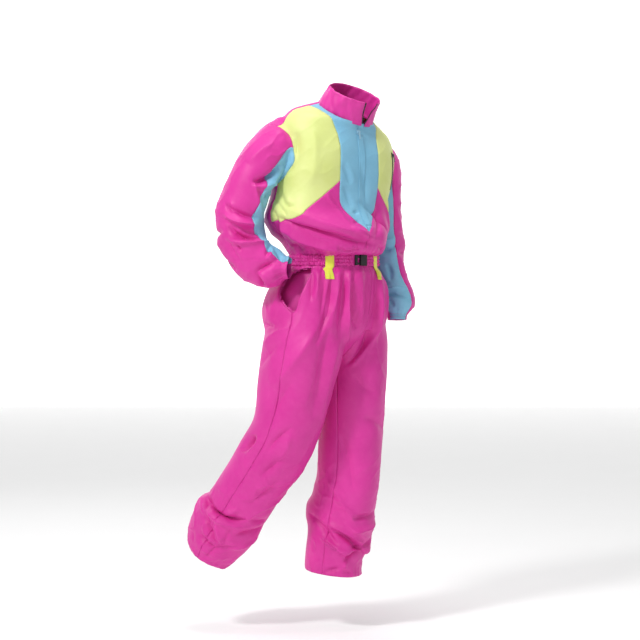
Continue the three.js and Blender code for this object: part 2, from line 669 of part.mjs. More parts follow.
// A loop goes over the belt and is sewn above and below it
function loop(x, fromBack) {
  const heights = [LOOP.high, LOOP.under, LOOP.bend, LOOP.fold, LOOP.low];
  const places = stations(x - LOOP.width / 2, x + LOOP.width / 2, LOOP_TAPE.across);
  const rows = heights.map((height) => places.map((at) => {
    const sign = fromBack ? 1 : -1;
    const low = onHips(at, Math.min(height, LOOP.bend), fromBack);
    const high = onBelt(at, beltMiddle, fromBack);
    const overBelt = height >= LOOP.under;
    const y = overBelt ? high.y + sign * (BELT.ripple + LOOP_TAPE.clear) : low.y;
    return new THREE.Vector3(at, y, height - HOLD_HEIGHT);
  }));
  const { over, thick } = LOOP_TAPE;
  return fromBack ? sheet(rows, over, over + thick) : sheet(rows, -over - thick, -over);
}

// Buckle halves, plates that follow the belt
function plate(left, right, low, high, thick) {
  const rows = [low, high].map((height) => stations(left, right, BUCKLE.across).map((x) => {
    const point = onBelt(x, beltMiddle);
    return new THREE.Vector3(x, point.y - BELT.ripple - BUCKLE.over, height - HOLD_HEIGHT);
  }));
  return sheet(rows, 0, thick);
}

const socketLeft = BUCKLE.x + BUCKLE.gap / 2;
const barRight = BUCKLE.x - BUCKLE.gap / 2;
const buckleSocket = plate(socketLeft, socketLeft + BUCKLE.socket, BUCKLE.low, BUCKLE.high, BUCKLE.thick);
const barLow = BUCKLE.low + BUCKLE_BAR.inset;
const barHigh = BUCKLE.high - BUCKLE_BAR.inset;
const buckleBar = plate(barRight - BUCKLE.bar, barRight, barLow, barHigh, BUCKLE.thick - BUCKLE_BAR.thin);
const railStart = barRight - BUCKLE_RAIL.lap;
const railEnd = socketLeft - SEAM;
const railThick = BUCKLE.thick - BUCKLE_RAIL.thin;
const railLow = BUCKLE.low + BUCKLE_RAIL.inset;
const railHigh = BUCKLE.high - BUCKLE_RAIL.inset;
const lowRail = plate(railStart, railEnd, railLow, railLow + BUCKLE_RAIL.tall, railThick);
const highRail = plate(railStart, railEnd, railHigh - BUCKLE_RAIL.tall, railHigh, railThick);
const bucklePlug = buckleBar.add(lowRail).add(highRail);

// Sleeve pieces, parted along the arm
function sector(rings, from, to) {
  const sides = rings[0].length;
  return rings.map((ring, i) => {
    const centre = ringCentre(ring);
    const points = [centre.clone()];
    const count = SLEEVE_BLUE.edges;
    const grow = i < SLEEVE_BLUE.bodyRings ? SLEEVE_CUT.wide : SLEEVE_CUT.near;
    for (let k = 0; k <= count; k += 1) {
      const at = (mix(from, to, k / count) / 360) * sides;
      const low = Math.floor(at);
      const edge = ring[low % sides].clone().lerp(ring[(low + 1) % sides], at - low);
      points.push(centre.clone().addScaledVector(edge.sub(centre), grow));
    }
    return points;
  });
}

function sleevePieces(rings, sleeveShell) {
  const turn = SLEEVE_BLUE.seamTurn;
  const parting = (by) => {
    const part = sector(rings, SLEEVE_BLUE.from + by, SLEEVE_BLUE.to - by);
    return loft(pulledPast(part, true, true));
  };
  const narrow = parting(turn);
  const wide = parting(-turn);
  return { blue: sleeveShell.intersect(narrow), pink: sleeveShell.subtract(wide) };
}

function sleeveOutline(rows, sign) {
  const reach = sign * SLEEVE_REACH.x;
  return [...pairs(rows, sign), [reach, SLEEVE_REACH.low], [reach, SLEEVE_REACH.high]];
}

const sleeveR = sleevePieces(sleeveRingsR, upperShell.intersect(frontPiece(sleeveOutline(SIDE_SEAM_R, -1))));
const sleeveL = sleevePieces(sleeveRingsL, upperShell.intersect(frontPiece(sleeveOutline(SIDE_SEAM_L, 1))));

// Trouser pieces, parted down the side of each leg and at the middle
function legPieces(rows, sign) {
  const line = rows.map((row) => [row.stride, row.height]);
  const { low, high } = LEG_REACH;
  const seam = [[line[1][0], high], ...line.slice(1), [line[line.length - 1][0], low]];
  const fore = [...seam, [LEG_REACH.fore, low], [LEG_REACH.fore, high]];
  const aft = [...seam, [LEG_REACH.aft, low], [LEG_REACH.aft, high]];
  const side = sign * LEG_REACH.apart;
  const half = [[0, low], [0, high], [side, high], [side, low]];
  const halfShell = lowerShell.intersect(prism(drawnIn(half, SEAM / 2), fromStepFront, -FAR, FAR));
  return {
    fore: halfShell.intersect(prism(drawnIn(fore, SEAM / 2), fromStepSide, -FAR, FAR)),
    aft: halfShell.intersect(prism(drawnIn(aft, SEAM / 2), fromStepSide, -FAR, FAR)),
  };
}

const mouthOutline = (rows) => drawnAntiClockwise(rows.map((row) => [row.y, row.height]));
const mouthR = prism(mouthOutline(MOUTH_R), fromSide, -FAR, -MOUTH_DEPTH);
const mouthL = prism(mouthOutline(MOUTH_L), fromSide, MOUTH_DEPTH, FAR);
const legR = legPieces(LEG_R, -1);
const legL = legPieces(LEG_L, 1);

const bagRings = BAG_RINGS.map((i) => levelRing(HIPS[i], BAG_SIDES, []));

function pocketBag(mouth, sign) {
  const outline = [[BAG.fore, BAG.high], [BAG.fore, BAG.low], [BAG.aft, BAG.low], [BAG.aft, BAG.high]];
  const near = sign < 0 ? -FAR : BAG.middle;
  const far = sign < 0 ? -BAG.middle : FAR;
  const outer = WALL + BAG.clear;
  const skin = (distance) => outsideOf(bagRings, -distance);
  const bagOutside = skin(outer)
    .subtract(skin(outer + BAG.depth + 2 * BAG.skin))
    .intersect(prism(drawnAntiClockwise(outline), fromSide, near, far));
  const bagInside = skin(outer + BAG.skin)
    .subtract(skin(outer + BAG.skin + BAG.depth))
    .intersect(prism(drawnIn(outline, BAG.skin), fromSide, near, far));
  const cut = mouth.subtract(skin(outer + BAG.skin + BAG.depth / 2));
  return bagOutside.subtract(bagInside).subtract(cut);
}

// Open tapes along the collar's front edges
function edgeTape(atStart) {
  const rows = collarRows.map((row) => {
    const edge = atStart ? row[0] : row[row.length - 1];
    const next = atStart ? row[1] : row[row.length - 2];
    const away = edge.clone().sub(next).normalize();
    return [
      edge.clone().addScaledVector(away, OPEN_TAPE.clear),
      edge.clone().addScaledVector(away, OPEN_TAPE.clear + OPEN_TAPE.wide),
    ];
  });
  return sheet(rows, -OPEN_TAPE.thick / 2, OPEN_TAPE.thick / 2);
}

// Sliders and pull tabs, worked out in their own frame: across, outward, up
function solidOf(geometry) {
  const plain = geometry.clone();
  plain.deleteAttribute("normal");
  plain.deleteAttribute("uv");
  const merged = mergeVertices(plain);
  const vertProperties = new Float32Array(merged.attributes.position.array);
  const triVerts = new Uint32Array(merged.index.array);
  return new wasm.Manifold(new wasm.Mesh({ numProp: 3, vertProperties, triVerts }));
}

function block(frame, wide, thick, tall, outward, up) {
  const geometry = new THREE.BoxGeometry(wide, thick, tall);
  geometry.translate(0, outward + thick / 2, up);
  return solidOf(geometry.applyMatrix4(frame));
}

function pin(frame, radius, long, outward) {
  const geometry = new THREE.CylinderGeometry(radius, radius, long, PIN_SIDES);
  geometry.rotateZ(Math.PI / 2);
  geometry.translate(0, outward, 0);
  return solidOf(geometry.applyMatrix4(frame));
}

function frameAt(point, outward) {
  const up = new THREE.Vector3(0, 0, 1);
  up.addScaledVector(outward, -outward.z).normalize();
  const across = new THREE.Vector3().crossVectors(outward, up);
  const frame = new THREE.Matrix4().makeBasis(across, outward, up);
  return frame.setPosition(point);
}

function sliderAt(frame) {
  const base = SLIDER.over;
  const axle = base + SLIDER.thick + SLIDER.rise;
  const post = SLIDER.wide / 2 - SLIDER.post / 2 - SLIDER.inset;
  const body = block(frame, SLIDER.wide, SLIDER.thick, SLIDER.tall, base, 0);
  const side = (sign) => {
    const low = base + SLIDER.thick - SLIDER.inset;
    const high = axle + SLIDER.pin + SLIDER.inset;
    const geometry = new THREE.BoxGeometry(SLIDER.post, high - low, 2 * (SLIDER.pin + SLIDER.inset));
    geometry.translate(sign * post, (low + high) / 2, 0);
    return solidOf(geometry.applyMatrix4(frame));
  };
  return body.add(side(-1)).add(side(1)).add(pin(frame, SLIDER.pin, 2 * post, axle));
}

function pullAt(frame) {
  const axle = SLIDER.over + SLIDER.thick + SLIDER.rise;
  const barrel = pin(frame, PULL.barrel, PULL.wide, axle);
  const bore = pin(frame, SLIDER.pin + PULL.clear, PULL.wide + 2 * PULL.borePast, axle);
  const long = PULL.long;
  const top = SLIDER.pin + PULL.clear + SLIDER.inset;
  const tongue = block(frame, PULL.tongue, PULL.thick, long, axle - PULL.thick / 2, -long / 2 - top);
  return barrel.add(tongue).subtract(bore);
}

// Outward direction of the bodice at a point seen from the front
function outwardAt(x, height) {
  const reach = 5;
  const along = onBodice(x + reach, height).sub(onBodice(x - reach, height));
  const up = onBodice(x, height + reach).sub(onBodice(x, height - reach));
  return along.cross(up).normalize();
}

const frontFrame = frameAt(onBodice(0, FRONT_ZIP.slider), outwardAt(0, FRONT_ZIP.slider));
const chestOut = outwardAt(CHEST_ZIP.x, CHEST_ZIP.slider);
const chestTop = CHEST_TAPE.thick + CHEST_TAPE.over;
const chestPoint = onBodice(CHEST_ZIP.x, CHEST_ZIP.slider).addScaledVector(chestOut, chestTop);
const chestFrame = frameAt(chestPoint, chestOut);

function strip(size) {
  const { left, right, low, high, across, tall } = size;
  return laid(onBodice, right, left, low, high, across, tall, size.over, size.over + size.thick);
}

const chestTape = {
  ...CHEST_ZIP,
  ...CHEST_TAPE,
  right: CHEST_ZIP.x - CHEST_ZIP.width / 2,
  left: CHEST_ZIP.x + CHEST_ZIP.width / 2,
};

// Assembly
const suit = new THREE.Group();
suit.name = "ski_suit";

function place(name, solid, look) {
  const mesh = new THREE.Mesh(meshOf(solid), new THREE.MeshStandardMaterial(look));
  mesh.name = name;
  suit.add(mesh);
}

place("bodice_front_blue_R", bodiceFront.intersect(frontPiece(blueOutline(-1))), BLUE);
place("bodice_front_blue_L", bodiceFront.intersect(frontPiece(blueOutline(1))), BLUE);
place("bodice_front_yellow_R", bodiceFront.intersect(frontPiece(yellowOutline(-1, YELLOW_EDGE_R))), YELLOW);
place("bodice_front_yellow_L", bodiceFront.intersect(frontPiece(yellowOutline(1, YELLOW_EDGE_L))), YELLOW);
place("bodice_front_pink_R", bodiceFront.intersect(frontPiece(pinkOutline(-1, YELLOW_EDGE_R))), PINK);
place("bodice_front_pink_L", bodiceFront.intersect(frontPiece(pinkOutline(1, YELLOW_EDGE_L))), PINK);
place("bodice_back", bodiceBack, PINK);
place("collar", sheet(collarRows, 0, WALL), PINK);
place("sleeve_pink_R", sleeveR.pink, PINK);
place("sleeve_blue_R", sleeveR.blue, BLUE);
place("sleeve_pink_L", sleeveL.pink, PINK);
place("sleeve_blue_L", sleeveL.blue, BLUE);
place("leg_front_R", legR.fore.subtract(mouthR), PINK);
place("leg_back_R", legR.aft.subtract(mouthR), PINK);
place("leg_front_L", legL.fore.subtract(mouthL), PINK);
place("leg_back_L", legL.aft.subtract(mouthL), PINK);
place("pocket_bag_R", pocketBag(mouthR, -1), PINK);
place("pocket_bag_L", pocketBag(mouthL, 1), PINK);
place("belt", belt, PINK);
place("belt_loop_R", loop(-LOOP.x, false), YELLOW);
place("belt_loop_L", loop(LOOP.x, false), YELLOW);
place("belt_loop_back", loop(0, true), YELLOW);
place("buckle_socket", buckleSocket, BLACK);
place("buckle_plug", bucklePlug, BLACK);
place("zip_tape_R", edgeTape(true), BLACK);
place("zip_tape_L", edgeTape(false), BLACK);
place("front_placket", strip(PLACKET), BLUE);
place("front_zip_slider", sliderAt(frontFrame), SLIDER_BLUE);
place("front_zip_pull", pullAt(frontFrame), SLIDER_BLUE);
place("chest_zip_tape", strip(chestTape), BLACK);
place("chest_zip_slider", sliderAt(chestFrame), BLACK);
place("chest_zip_pull", pullAt(chestFrame), BLACK);
export default suit;
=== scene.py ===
"""Looks of a worn one-piece ski suit: thin cloth shells on the form of its CAD solids.

Sizes in the tables are millimetres and heights are above the ground the wearer stands on.
"""

import math

import bmesh
import bpy
import numpy as np
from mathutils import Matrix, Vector
from mathutils.bvhtree import BVHTree


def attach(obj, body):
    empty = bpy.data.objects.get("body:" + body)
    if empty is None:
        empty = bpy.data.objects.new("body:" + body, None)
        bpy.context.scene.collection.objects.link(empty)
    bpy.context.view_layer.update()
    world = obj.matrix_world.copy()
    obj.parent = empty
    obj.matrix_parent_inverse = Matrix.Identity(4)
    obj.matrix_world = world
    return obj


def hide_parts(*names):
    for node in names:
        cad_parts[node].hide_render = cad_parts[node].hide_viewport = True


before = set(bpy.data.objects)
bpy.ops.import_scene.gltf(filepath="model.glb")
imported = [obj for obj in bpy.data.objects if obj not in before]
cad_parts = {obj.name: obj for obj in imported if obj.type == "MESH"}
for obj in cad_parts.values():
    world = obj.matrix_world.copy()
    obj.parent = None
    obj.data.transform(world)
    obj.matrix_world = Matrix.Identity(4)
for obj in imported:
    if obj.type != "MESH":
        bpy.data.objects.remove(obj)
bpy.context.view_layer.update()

MM = 0.001
HOLD_HEIGHT = 1530.0
VOXEL = 4.2
VOXEL_UPPER = 3.8
RING_STEP = 9.0
RING_POINTS = 120
PAST_END = 14.0
CLOTH_THICK = 1.1
STEP_TURN = 25.0
FAR_INSIDE = 50.0


# Tables
def table(columns, *rows):
    """Rows under named columns, as one array for each column."""
    names = columns.split()
    return {name: np.array([row[i] for row in rows], float) for i, name in enumerate(names)}


LEVEL = "height right left front back square dip drop x y"
BODICE = table(
    LEVEL,
    (1122, 140, 140, 112, 102, 2.1, 0, 0, 0, 0),
    (1138, 140, 140, 112, 102, 2.1, 0, 0, 0, 0),
    (1148, 146, 142, 146, 117, 2.1, 8, 0, 0, 0),
    (1172, 167, 147, 164, 133, 2.1, 9, 0, 0, 0),
    (1206, 199, 150, 165, 148, 2.1, 4, 0, 0, 0),
    (1240, 212, 155, 149, 150, 2.2, 0, 0, 0, 0),
    (1280, 208, 163, 133, 142, 2.3, 0, 0, 0, 0),
    (1325, 197, 176, 131, 130, 2.4, 0, 4, 0, 0),
    (1380, 192, 189, 134, 120, 2.5, 0, 8, 0, 0),
    (1435, 190, 196, 130, 113, 2.5, 0, 12, 0, -2),
    (1484, 188, 193, 117, 110, 2.5, 2, 18, 0, -6),
    (1516, 178, 180, 102, 104, 2.4, 7, 22, 0, -15),
    (1538, 156, 156, 93, 95, 2.3, 19, 24, 0, -26),
    (1552, 122, 122, 81, 83, 2.2, 30, 20, 3, -41),
    (1563, 84, 84, 70, 72, 2, 38, 10, 6, -55),
)
HIPS = table(
    LEVEL,
    (1122, 140, 140, 112, 102, 2.1, 0, 0, 0, 0),
    (1105, 140, 140, 112, 102, 2.1, 0, 0, 0, 0),
    (1088, 160, 156, 124, 118, 2.1, 0, 0, 0, 3),
    (1056, 178, 174, 136, 138, 2.1, 0, 0, -2, 12),
    (1015, 195, 190, 146, 150, 2.1, 0, 0, -6, 23),
    (960, 202, 198, 149, 156, 2.1, 0, 0, -8, 30),
    (908, 184, 182, 136, 148, 2.1, 0, 0, -8, 33),
    (866, 128, 128, 92, 118, 2, 0, 0, -8, 35),
    (824, 36, 36, 26, 52, 2, 0, 0, -8, 34),
)
COLLAR = table(
    LEVEL,
    (1563.5, 84, 84, 70, 72, 2, 38, 10, 6, -55),
    (1588, 79, 79, 70, 69, 2, 36, 7, 9, -67),
    (1618, 76, 76, 70, 65, 2, 36, 3, 15, -88),
)
COLLAR_GAP = {"centre": 84, "low": 5, "high": 19}

PATH = "x y height out inn fore aft"
SLEEVE_R = table(
    PATH,
    (-118, 16, 1474, 46, 50, 60, 62),
    (-170, 26, 1476, 54, 60, 70, 74),
    (-218, 36, 1434, 60, 61, 72, 76),
    (-256, 56, 1358, 66, 56, 70, 73),
    (-275, 71, 1306, 65, 65, 74, 68),
    (-288, 83, 1256, 66, 70, 77, 67),
    (-288, 82, 1216, 63, 74, 73, 70),
    (-280, 72, 1174, 66, 72, 72, 74),
    (-262, 46, 1136, 67, 56, 68, 75),
    (-238, 12, 1110, 60, 40, 62, 72),
    (-216, -18, 1101, 52, 36, 50, 58),
    (-204, -36, 1100, 34, 30, 32, 34),
    (-196, -47, 1099, 34, 30, 32, 34),
)
SLEEVE_L = table(
    PATH,
    (112, 8, 1440, 46, 50, 60, 60),
    (160, 6, 1440, 56, 58, 70, 72),
    (180, 8, 1420, 62, 60, 72, 72),
    (193, 16, 1352, 61, 52, 69, 70),
    (203, 27, 1270, 64, 42, 66, 68),
    (210, 30, 1215, 69, 44, 64, 70),
    (215, 28, 1164, 72, 46, 66, 68),
    (219, 18, 1120, 58, 42, 58, 60),
    (223, 0, 1068, 48, 42, 52, 50),
    (228, -15, 1018, 58, 46, 56, 54),
    (232, -22, 992, 60, 46, 52, 54),
    (231, -24, 972, 42, 36, 38, 38),
    (230, -24, 962, 30, 28, 29, 29),
    (229, -25, 944, 30, 28, 29, 29),
)
SLEEVES = {"R": (SLEEVE_R, (-1, 0, 0)), "L": (SLEEVE_L, (1, 0, 0))}
SLEEVE_BLUE = {"middle": 150, "half": 60, "turn_R": 52, "turn_L": 26, "turned_over": 150, "arc": 1.1}

STEP = "stride apart height out inn fore aft"
LEG_R = table(
    STEP,
    (-20, -78, 990, 88, 62, 104, 100),
    (-38, -87, 925, 108, 78, 116, 120),
    (-52, -90, 860, 115, 85, 124, 126),
    (-74, -91, 745, 108, 86, 113, 119),
    (-114, -91, 614, 102, 85, 106, 101),
    (-176, -91, 514, 96, 83, 101, 101),
    (-228, -91, 442, 92, 82, 93, 98),
    (-274, -91, 376, 90, 80, 92, 96),
    (-294, -91, 346, 98, 84, 92, 118),
    (-314, -91, 318, 98, 84, 90, 116),
    (-342, -91, 278, 89, 80, 82, 106),
    (-366, -91, 242, 77, 71, 70, 84),
    (-375, -91, 228, 72, 68, 66, 70),
)
LEG_L = table(
    STEP,
    (16, 78, 990, 86, 62, 94, 92),
    (14, 87, 925, 101, 78, 108, 110),
    (12, 90, 860, 107, 85, 115, 114),
    (10, 91, 740, 102, 86, 110, 107),
    (11, 91, 600, 95, 84, 101, 97),
    (6, 91, 470, 91, 82, 96, 96),
    (-8, 91, 396, 92, 82, 98, 100),
    (-15, 91, 360, 97, 84, 100, 116),
    (-20, 91, 328, 97, 84, 100, 114),
    (-26, 91, 296, 91, 82, 99, 101),
    (-32, 91, 264, 94, 84, 106, 96),
    (-36, 91, 242, 90, 81, 90, 95),
    (-40, 91, 218, 85, 79, 80, 93),
    (-45, 91, 176, 82, 78, 86, 88),
)

# Seams in the front view, as a distance out from the middle at each height
SIDE_SEAM_R = table(
    "height x",
    (900, 150), (1144, 154), (1192, 211), (1236, 224), (1280, 219), (1326, 203), (1370, 181), (1420, 182),
    (1484, 188), (1520, 209), (1545, 234), (1640, 244),
)
SIDE_SEAM_L = table(
    "height x",
    (900, 151), (1200, 160), (1262, 166), (1300, 172), (1350, 180), (1420, 184), (1500, 179), (1640, 168),
)
ARMHOLES = {"R": (SIDE_SEAM_R, -1), "L": (SIDE_SEAM_L, 1)}
SHOULDER_SEAM = table("height y", (1000, 14), (1262, 24), (1500, -14), (1700, -14))
BLUE_EDGE = table(
    "height x",
    (1203, 0), (1300, 72), (1440, 72), (1480, 74), (1525, 84), (1560, 95), (1590, 99), (1700, 102)
)
YELLOW_EDGE_R = table("x height", (0, 1416), (72, 1354), (190, 1252), (400, 1070))
YELLOW_EDGE_L = table("x height", (0, 1419), (72, 1338), (172, 1226), (400, 1000))

MOUTH_R = table(
    "y height", (-62, 1097), (-66, 1060), (-60, 1012), (-50, 969), (-24, 984), (4, 1011), (14, 1040),
    (4, 1070), (-26, 1094),
)
MOUTH_L = table("y height", (-60, 1096), (-62, 1060), (-50, 969), (-44, 968), (-50, 1030), (-52, 1094))
MOUTHS = {"R": (MOUTH_R, -1), "L": (MOUTH_L, 1)}

# Broad folds in the form: degrees from the wearer's left through the front
TURNED = "start high end low width rise"
BODICE_FOLDS = table(
    TURNED,
    (190, 1264, 118, 1206, 28, 9),
    (118, 1206, 70, 1198, 25, 6),
    (352, 1250, 60, 1200, 25, 6),
    (205, 1250, 262, 1200, 25, 7),
    (338, 1246, 282, 1200, 25, 7),
    (240, 1430, 262, 1250, 28, 5),
    (302, 1430, 280, 1250, 28, 5),
)
HIPS_FOLDS = table(
    TURNED,
    (120, 1060, 122, 960, 18, 8),
    (96, 1060, 97, 940, 18, 8),
    (60, 1060, 58, 960, 18, 8),
    (205, 1058, 212, 990, 20, 6),
    (240, 1058, 236, 980, 20, 6),
    (300, 1058, 304, 980, 20, 6),
    (335, 1058, 328, 990, 20, 6),
)


# Numbers
def smooth(at, xs, ys):
    """A curve through points, in order of xs, that doesn't swing past them."""
    gap = np.diff(xs)
    slope = np.diff(ys) / gap
    tangent = np.zeros(len(xs))
    tangent[0], tangent[-1] = slope[0], slope[-1]
    both = slope[:-1] * slope[1:] > 0
    first, second = 2 * gap[1:] + gap[:-1], gap[1:] + 2 * gap[:-1]
    inner = np.zeros(len(xs) - 2)
    inner[both] = (first + second)[both] / (first[both] / slope[:-1][both] + second[both] / slope[1:][both])
    tangent[1:-1] = inner
    i = np.clip(np.searchsorted(xs, at) - 1, 0, len(gap) - 1)
    t = (at - xs[i]) / gap[i]
    t = np.clip(t, 0, 1)
    rise = ys[i] * (1 + 2 * t) * (1 - t) ** 2 + ys[i + 1] * t * t * (3 - 2 * t)
    return rise + gap[i] * (tangent[i] * t * (1 - t) ** 2 - tangent[i + 1] * t * t * (1 - t))


def finer(rows, step=RING_STEP):
    """The same table with rows about a step apart along it."""
    place = [rows[name] for name in ("x", "y", "height") if name in rows]
    moves = np.sqrt(sum(np.diff(values) ** 2 for values in place))
    along = np.concatenate([[0], np.cumsum(moves)])
    at = np.linspace(0, along[-1], int(along[-1] / step) + 2)
    return {name: smooth(at, along, values) for name, values in rows.items()}


def level_row(rows, upward, height):
    """A body table's row at one height; upward is -1 where its heights run downward."""
    at = np.array([upward * height])
    return {name: float(smooth(at, upward * rows["height"], rows[name])[0]) for name in LEVEL.split()}


def power(value, exponent):
    return np.sign(value) * np.abs(value) ** exponent


def unit(vectors):
    return vectors / np.maximum(np.linalg.norm(vectors, axis=-1, keepdims=True), 1e-9)


def wrapped(degrees):
    return (degrees + 540) % 360 - 180


def turned_folds(folds, angle, height, radius):
    """How far folds drawn by angle and height lift a level ring."""
    total = np.zeros(np.broadcast(angle, height).shape)
    for i in range(len(folds["rise"])):
        start = np.radians(wrapped(folds["start"][i] - angle)) * radius
        sweep = math.radians(wrapped(folds["end"][i] - folds["start"][i])) * radius
        above = folds["high"][i] - height
        fall = folds["low"][i] - folds["high"][i]
        t = np.clip(-(start * sweep + above * fall) / (sweep**2 + fall**2), 0, 1)
        near = (start + sweep * t) ** 2 + (above + fall * t) ** 2
        total += folds["rise"][i] * np.exp(-near / folds["width"][i] ** 2)
    return total


def level_rings(rows, folds, points=RING_POINTS):
    """Rings round the body; the angle starts at the wearer's left and goes through the front."""
    row = {name: values[:, None] for name, values in rows.items()}
    angle = np.arange(points)[None] * 360.0 / points
    c = power(np.cos(np.radians(angle)), 2 / row["square"])
    s = power(np.sin(np.radians(angle)), 2 / row["square"])
    deep = np.where(s > 0, row["front"], row["back"])
    wide = np.where(c > 0, row["left"], row["right"])
    rise = turned_folds(folds, angle, row["height"], (row["right"] + row["front"]) / 2)
    reach = 1 + rise / np.hypot(wide * c, deep * s)
    x = row["x"] + wide * c * reach
    y = row["y"] - deep * s * reach
    z = row["height"] - row["dip"] * s - row["drop"] * c - HOLD_HEIGHT + 0 * x
    return np.stack([x, y, z], axis=2)


def path_frames(rows, outward):
    """Centres of a tube's rings, and their directions along, outward and forward."""
    centre = np.stack([rows["x"], rows["y"], rows["height"] - HOLD_HEIGHT], axis=1)
    along = unit(np.gradient(centre, axis=0))
    outward = np.array(outward, float)
    out = unit(outward - along * (along @ outward)[:, None])
    fore = np.cross(along, out) * (-1 if outward[0] < 0 else 1)
    return centre, along, out, fore


def path_rings(rows, outward, points=RING_POINTS, square=2.1):
    centre, _, out, fore = path_frames(rows, outward)
    turn = np.arange(points) * 2 * math.pi / points
    c, s = power(np.cos(turn), 2 / square), power(np.sin(turn), 2 / square)
    side = np.where(c > 0, rows["out"][:, None], rows["inn"][:, None]) * c
    deep = np.where(s > 0, rows["fore"][:, None], rows["aft"][:, None]) * s
    return centre[:, None] + out[:, None] * side[:, :, None] + fore[:, None] * deep[:, :, None]


def stepped(rows):
    """A leg's table with its centres in the row frame instead of along the step."""
    turn = math.radians(STEP_TURN)
    x = rows["stride"] * math.sin(turn) + rows["apart"] * math.cos(turn)
    y = -rows["stride"] * math.cos(turn) + rows["apart"] * math.sin(turn)
    kept = {name: rows[name] for name in ("height", "out", "inn", "fore", "aft")}
    return {"x": x, "y": y, **kept}


def past_end(rings, start, end):
    """Rings with one more pulled out past each open end."""
    def pulled(ring, other):
        return ring + unit(ring.mean(0) - other.mean(0)) * PAST_END
    parts = [rings]
    if start:
        parts.insert(0, pulled(rings[0], rings[1])[None])
    if end:
        parts.append(pulled(rings[-1], rings[-2])[None])
    return np.concatenate(parts)


def closed_tube(rings):
    count, sides = rings.shape[:2]
    points = np.concatenate([rings.reshape(-1, 3), rings[0].mean(0)[None], rings[-1].mean(0)[None]])
    faces = []
    for i in range(count - 1):
        for k in range(sides):
            a, b = i * sides + k, i * sides + (k + 1) % sides
            faces.append((a, b, b + sides, a + sides))
    last = (count - 1) * sides
    for k in range(sides):
        faces.append((count * sides, (k + 1) % sides, k))
        faces.append((count * sides + 1, last + k, last + (k + 1) % sides))
    return points, faces


# Meshes
def new_mesh(name, points, faces):
    mesh = bpy.data.meshes.new(name)
    mesh.from_pydata((np.asarray(points) * MM).tolist(), [], [tuple(map(int, face)) for face in faces])
    mesh.validate()
    obj = bpy.data.objects.new(name, mesh)
    bpy.context.scene.collection.objects.link(obj)
    return obj


def read_mesh(mesh):
    mesh.calc_loop_triangles()
    points = np.zeros(len(mesh.vertices) * 3)
    mesh.vertices.foreach_get("co", points)
    triangles = np.zeros(len(mesh.loop_triangles) * 3, int)
    mesh.loop_triangles.foreach_get("vertices", triangles)
    return points.reshape(-1, 3) / MM, triangles.reshape(-1, 3)


def joined_form(name, tubes, voxel=VOXEL):
    """One even skin round several closed tubes, in triangles."""
    points, faces, first = [], [], 0
    for rings in tubes:
        tube_points, tube_faces = closed_tube(rings)
        faces += [tuple(first + i for i in face) for face in tube_faces]
        points.append(tube_points)
        first += len(tube_points)
    obj = new_mesh(name, np.concatenate(points), faces)
    bm = bmesh.new()
    bm.from_mesh(obj.data)
    bmesh.ops.recalc_face_normals(bm, faces=bm.faces)
    bm.to_mesh(obj.data)
    bm.free()
    remesh = obj.modifiers.new("skin", "REMESH")
    remesh.mode = "VOXEL"
    remesh.voxel_size = voxel * MM
    found = obj.evaluated_get(bpy.context.evaluated_depsgraph_get())
    mesh = found.to_mesh()
    result = read_mesh(mesh)
    found.to_mesh_clear()
    bpy.data.objects.remove(obj)
    return result


def edges_of(triangles):
    pairs = np.concatenate([triangles[:, [0, 1]], triangles[:, [1, 2]], triangles[:, [2, 0]]])
    return np.unique(np.sort(pairs, axis=1), axis=0)


def relaxed(points, edges, times, weight=None, pull=0.5):
    """Points drawn towards their neighbours' mean."""
    count = np.bincount(edges.ravel(), minlength=len(points))[:, None]
    share = pull if weight is None else pull * weight[:, None]
    for _ in range(times):
        mean = np.stack([
            np.bincount(edges[:, 0], points[edges[:, 1], axis], len(points))
            + np.bincount(edges[:, 1], points[edges[:, 0], axis], len(points))
            for axis in range(3)
        ], axis=1) / np.maximum(count, 1)
        points = points + (mean - points) * share
    return points


def normals_of(points, triangles):
    a, b, c = (points[triangles[:, i]] for i in range(3))
    flat = np.cross(b - a, c - a)
    total = np.zeros_like(points)
    for corner in range(3):
        for axis in range(3):
            total[:, axis] += np.bincount(triangles[:, corner], flat[:, axis], len(points))
    return unit(total)


# Folds listed as they are seen from level views all round the suit
VIEW_DISTANCE = 5500.0
VIEW_HEIGHT = 1000.0
AXIS_HEIGHT = 945.0


def seen_from(points, azimuth):
    """Distance across from the body's axis and height above the ground, as seen from a level view."""
    turn = math.radians(azimuth)
    back = np.array([math.sin(turn), -math.cos(turn), 0.0])
    side = np.array([math.cos(turn), math.sin(turn), 0.0])
    near = VIEW_DISTANCE / (VIEW_DISTANCE - points @ back)
    height = points[:, 2] + HOLD_HEIGHT
    return points @ side * near, VIEW_HEIGHT + (height - VIEW_HEIGHT) * near


def toward(azimuth):
    turn = math.radians(azimuth)
    return np.array([math.sin(turn), -math.cos(turn), 0.0])


def eased(value, low, high):
    t = np.clip((value - low) / (high - low), 0, 1)
    return t * t * (3 - 2 * t)


